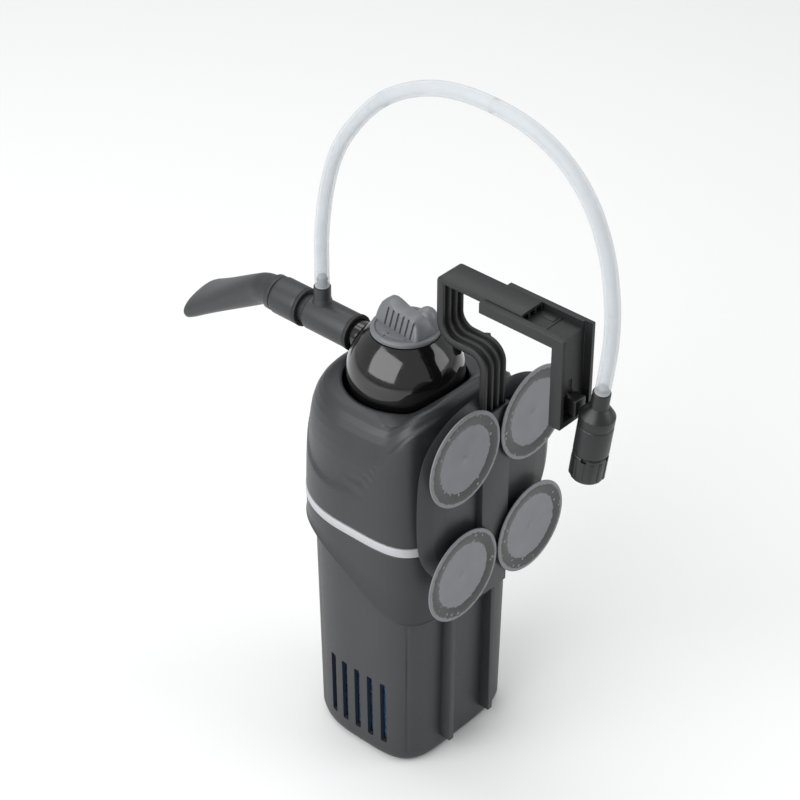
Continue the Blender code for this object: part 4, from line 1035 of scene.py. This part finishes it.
STRAP_LINE = ([(-12.7, 5.5), (-12.2, 5.5)] + bend(25, 2.5, 3, 90, 0, 8) + bend(19, -14.5, 9, 0, -90, 12)
              + bend(11.65, -28.5, 5, 90, 180, 10) + [(6.65, -95.6), (6.65, -96)])
right = [(5.7, 0), (6, 0.3), (6, 3.05), (5.75, 3.3), (5.15, 3.3), (4.9, 3.05), (4.9, 1.45), (4.65, 1.2),
         (2.6, 1.2), (2.35, 1.45), (2.35, 3.05), (2.1, 3.3), (1.5, 3.3), (1.25, 3.05), (1.25, 1.45), (1.0, 1.2)]
STRAP_SECTION = right + [(-x, depth) for x, depth in reversed(right)]
strap_spots = [Vector((0, y, z)) * MM for y, z in STRAP_LINE]
rings = []
for index, spot in enumerate(strap_spots):
    way = (strap_spots[min(index + 1, len(strap_spots) - 1)] - strap_spots[max(index - 1, 0)]).normalized()
    inward = Vector((0, way.z, -way.y))
    rings.append([spot + Vector((x * MM, 0, 0)) + inward * depth * MM for x, depth in STRAP_SECTION])
strap = skinned("hanger_strap_ribbed", rings, closed=False)
fit(close_up(strap, 50), bracket_abs, "holder", "bracket_plastic", "hanger_strap")

clip = box_tool((-9.25, -31, 0), (9.25, 5, 4.6), 0.3)
clip.name = clip.data.name = "hanger_clip_channel"
cut_with(clip, box_tool((-9.25, -34.4, -34), (9.25, -29, 4.6), 0.3), "UNION")
cut_with(clip, box_tool((-6.4, -50, 1.8), (6.4, 10, 10)))
cut_with(clip, box_tool((-7.5, -50, -31.5), (7.5, -31, 10), 0.25))
cut_with(clip, box_tool((-1.2, -40, -30.5), (1.3, -20, -17.5), 0.15))
cut_with(clip, box_tool((-6.2, -21.9, 1.6), (6.2, -20.9, 2.15), 0.15), "UNION")
cut_with(clip, box_tool((2.2, -20.5, 1.6), (5.2, -15.5, 2.1), 0.15), "UNION")
fit(close_up(clip, 35), bracket_abs, "hanger_clip", "bracket_plastic", "hanger_clip")

arm = box_tool((-3, -36.5, -30.3), (3, -31.4, -23.5), 0.5)
arm.name = arm.data.name = "valve_arm"
cut_with(arm, box_tool((-0.85, -32, -29.8), (0.95, -28, -24), 0.1), "UNION")
fit(close_up(arm, 35), valve_nylon, "hanger_clip", "valve_plastic", "valve_clip_arm")

LEAN = math.radians(7)
valve_way = (0, -math.sin(LEAN), math.cos(LEAN))
valve_at = Vector((0, -43.2, -36)) * MM
valve_line = [(1.5, 22.6), (1.9, 22.6), (2.3, 20.9), (1.9, 20.5), (1.9, 20.1), (3.4, 20.1), (3.5, 19.8),
              (3.5, 13.5), (4.6, 12.6), (6.8, 9.6), (6.8, 6.0), (6.55, 5.8), (6.55, 5.2), (6.8, 5.0),
              (6.8, -7.3), (6.5, -7.6), (4.4, -7.6), (4.4, 4), (1.5, 7), (1.5, 22.6)]
valve = turned("valve_barrel", rounded(valve_line, 0.25), valve_at, valve_way, 72)
fit(close_up(valve, 30), valve_nylon, "hanger_clip", "valve_plastic", "valve_body")

cap_line = [(0, -20), (5.0, -20), (6.1, -19.5), (6.7, -18.4), (6.7, -8.4), (6.4, -8), (4, -8), (4, -2.2),
            (3.8, -2), (0, -2)]
cap = close_up(turned("valve_cap_ribbed", cap_line, (0, 0, 0), steps=72), 30)
CAP_RIBS = 12
for step in range(CAP_RIBS):
    turn = Matrix.Rotation(2 * math.pi * (step + 0.5) / CAP_RIBS, 4, "Z")
    rib = box_tool((6.3, -0.75, -18.6), (6.9, 0.75, -9.6), 0.2)
    rib.data.transform(turn)
    cut_with(cap, rib, "UNION")
    if step % 3 == 0:
        notch = box_tool((5.4, -1.1, -9.4), (7.4, 1.1, -7.4), 0.2)
        notch.data.transform(turn)
        cut_with(cap, notch)
lean = Vector((0, 0, 1)).rotation_difference(Vector(valve_way)).to_matrix().to_4x4()
cap.data.transform(Matrix.Translation(valve_at) @ lean)
fit(close_up(cap, 30), valve_nylon, "valve_cap", "valve_plastic", "valve_cap")


# ---- bounds of the CAD and of what is shown, written out --------------------

seen_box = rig.bounds()
with open("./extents.json", "w") as sizes:
    json.dump({"cad": [list(c) for c in cad_box], "visual": [list(c) for c in seen_box]}, sizes)
